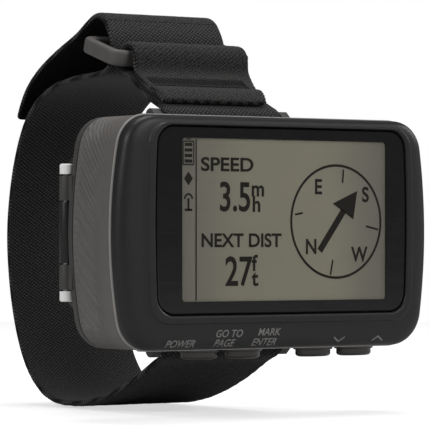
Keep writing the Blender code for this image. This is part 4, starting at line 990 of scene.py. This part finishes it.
short_line = smooth_line(
    short_start + arc((BAR_DEPTH, BAR_RISE), EYE, -62, -236, 9) + [(BAR_DEPTH + 2.6, BAR_RISE + 2.85)]
    + by_ring([(-4.8, -6.2), (-2.0, -4.05)]) + arc(RING_AT, RING_EYE, -50, 190, 12)
    + by_ring([(-2.5, -2.1), (-3.6, -3.3), (-5.6, -4.8), (-7.9, -6.05), (-9.4, -6.75), (-10.6, -7.3)]), 2)

END_REACH, END_DRAWN_IN = 9.0, 2.6


def draw_in(strip, line):
    """Pull the right edge of a strap inwards over its last few mm, as the stitching does."""
    nodes = np.array([at(0, y, z) for y, z in line])
    steps = np.linalg.norm(np.diff(nodes[::-1], axis=0), axis=1)
    to_end = np.concatenate([np.cumsum(steps)[::-1], [0]]) / MM
    for vertex in strip.data.vertices:
        near = int(np.argmin(np.hypot(nodes[:, 1] - vertex.co.y, nodes[:, 2] - vertex.co.z)))
        pull = max(0.0, 1 - to_end[near] / END_REACH)
        across = (vertex.co.x - CASE_X) / MM / STRAP_WIDTH + 0.5
        vertex.co.x -= END_DRAWN_IN * MM * pull ** 1.3 * across


wrist_strap = webbing("wrist_strap", wrist_line, True, twill, (-1,))
short_strap = webbing("short_strap", short_line, True, twill)
draw_in(short_strap, even(short_line, 0.5))
tail_strap = webbing("tail_strap", tail_line, False, hook_tape, (0,))
pile(wrist_strap, (0,), 0.2)
pile(short_strap, (0,), 0.06)
pile(tail_strap, (0,), 0.06)
settle(wrist_strap, "root", None, ["strap_loop"])
settle(short_strap, "root", None, ["strap_short"])
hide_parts("strap_tail")
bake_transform(tail_strap)

# Sewn end: the short strap's end is turned over into a hem and held by two rows of stitches.
# The thread is bonded polyester, black like the strap, and stands on the pile.
end_tip = short_line[-1]
end_way = (short_line[-1] - short_line[-3]) / np.linalg.norm(short_line[-1] - short_line[-3])
end_out = np.array([end_way[1], -end_way[0]])
hem_line = [end_tip - end_way * back + end_out * lift for back, lift in
            ((3.4, 0.1), (2.8, 0.3), (1.8, 0.38), (0.8, 0.34), (-0.2, 0.18), (-1.0, -0.05),
             (-1.7, -0.35))]
hem = webbing("short_strap_hem", smooth_line([tuple(p) for p in hem_line], 3), True, twill, (), 0.7)
draw_in(hem, hem_line)
settle(hem, "root", None)
thread = cloth("bonded polyester thread", "0a0a0a", "262626", 0.3, 20.0, 0.03, 0.3)
bpy.ops.object.select_all(action="DESELECT")
bpy.ops.mesh.primitive_cylinder_add(vertices=8, radius=0.16 * MM, depth=2.2 * MM)
stitch = bpy.context.object
bpy.ops.object.mode_set(mode="EDIT")
bpy.ops.mesh.select_all(action="SELECT")
bpy.ops.mesh.bevel(offset=0.09 * MM, segments=2)
bpy.ops.object.mode_set(mode="OBJECT")
bpy.ops.object.shade_smooth()
STITCHES = 30
FIRST_STITCH = -11.2
SEAM_LENGTH = 20.4
THREAD_LIFT = 0.7
from_tip = short_line[::-1]
run = np.cumsum(np.linalg.norm(np.diff(from_tip, axis=0), axis=1))
for row, back in enumerate((4.6, 7.2), 1):
    near = int(np.argmin(np.abs(run - back)))
    here, onward = from_tip[near], from_tip[near + 1]
    way = (onward - here) / np.linalg.norm(onward - here)
    spot_on = here + np.array([-way[1], way[0]]) * THREAD_LIFT
    rows = []
    for i in range(STITCHES):
        copy = stitch.copy()
        copy.data = stitch.data.copy()
        bpy.context.collection.objects.link(copy)
        copy.location = at(FIRST_STITCH + SEAM_LENGTH * i / (STITCHES - 1), *spot_on)
        copy.rotation_euler = (math.atan2(way[1], way[0]) - math.pi / 2, 0, 0)
        rows.append(copy)
    bpy.ops.object.select_all(action="DESELECT")
    for copy in rows:
        copy.select_set(True)
    bpy.context.view_layer.objects.active = rows[0]
    bpy.ops.object.transform_apply(location=True, rotation=True, scale=True)
    bpy.ops.object.join()
    seam = bpy.context.object
    seam.name = "hem_stitches_%d" % row
    mapped = seam.data.uv_layers[0] if seam.data.uv_layers else seam.data.uv_layers.new(name="along")
    mapped.name = "along"
    for loop in seam.data.loops:
        spot = seam.data.vertices[loop.vertex_index].co
        mapped.data[loop.index].uv = (spot.z / MM, spot.x / MM)
    settle(seam, "root", thread)
bpy.data.objects.remove(stitch)
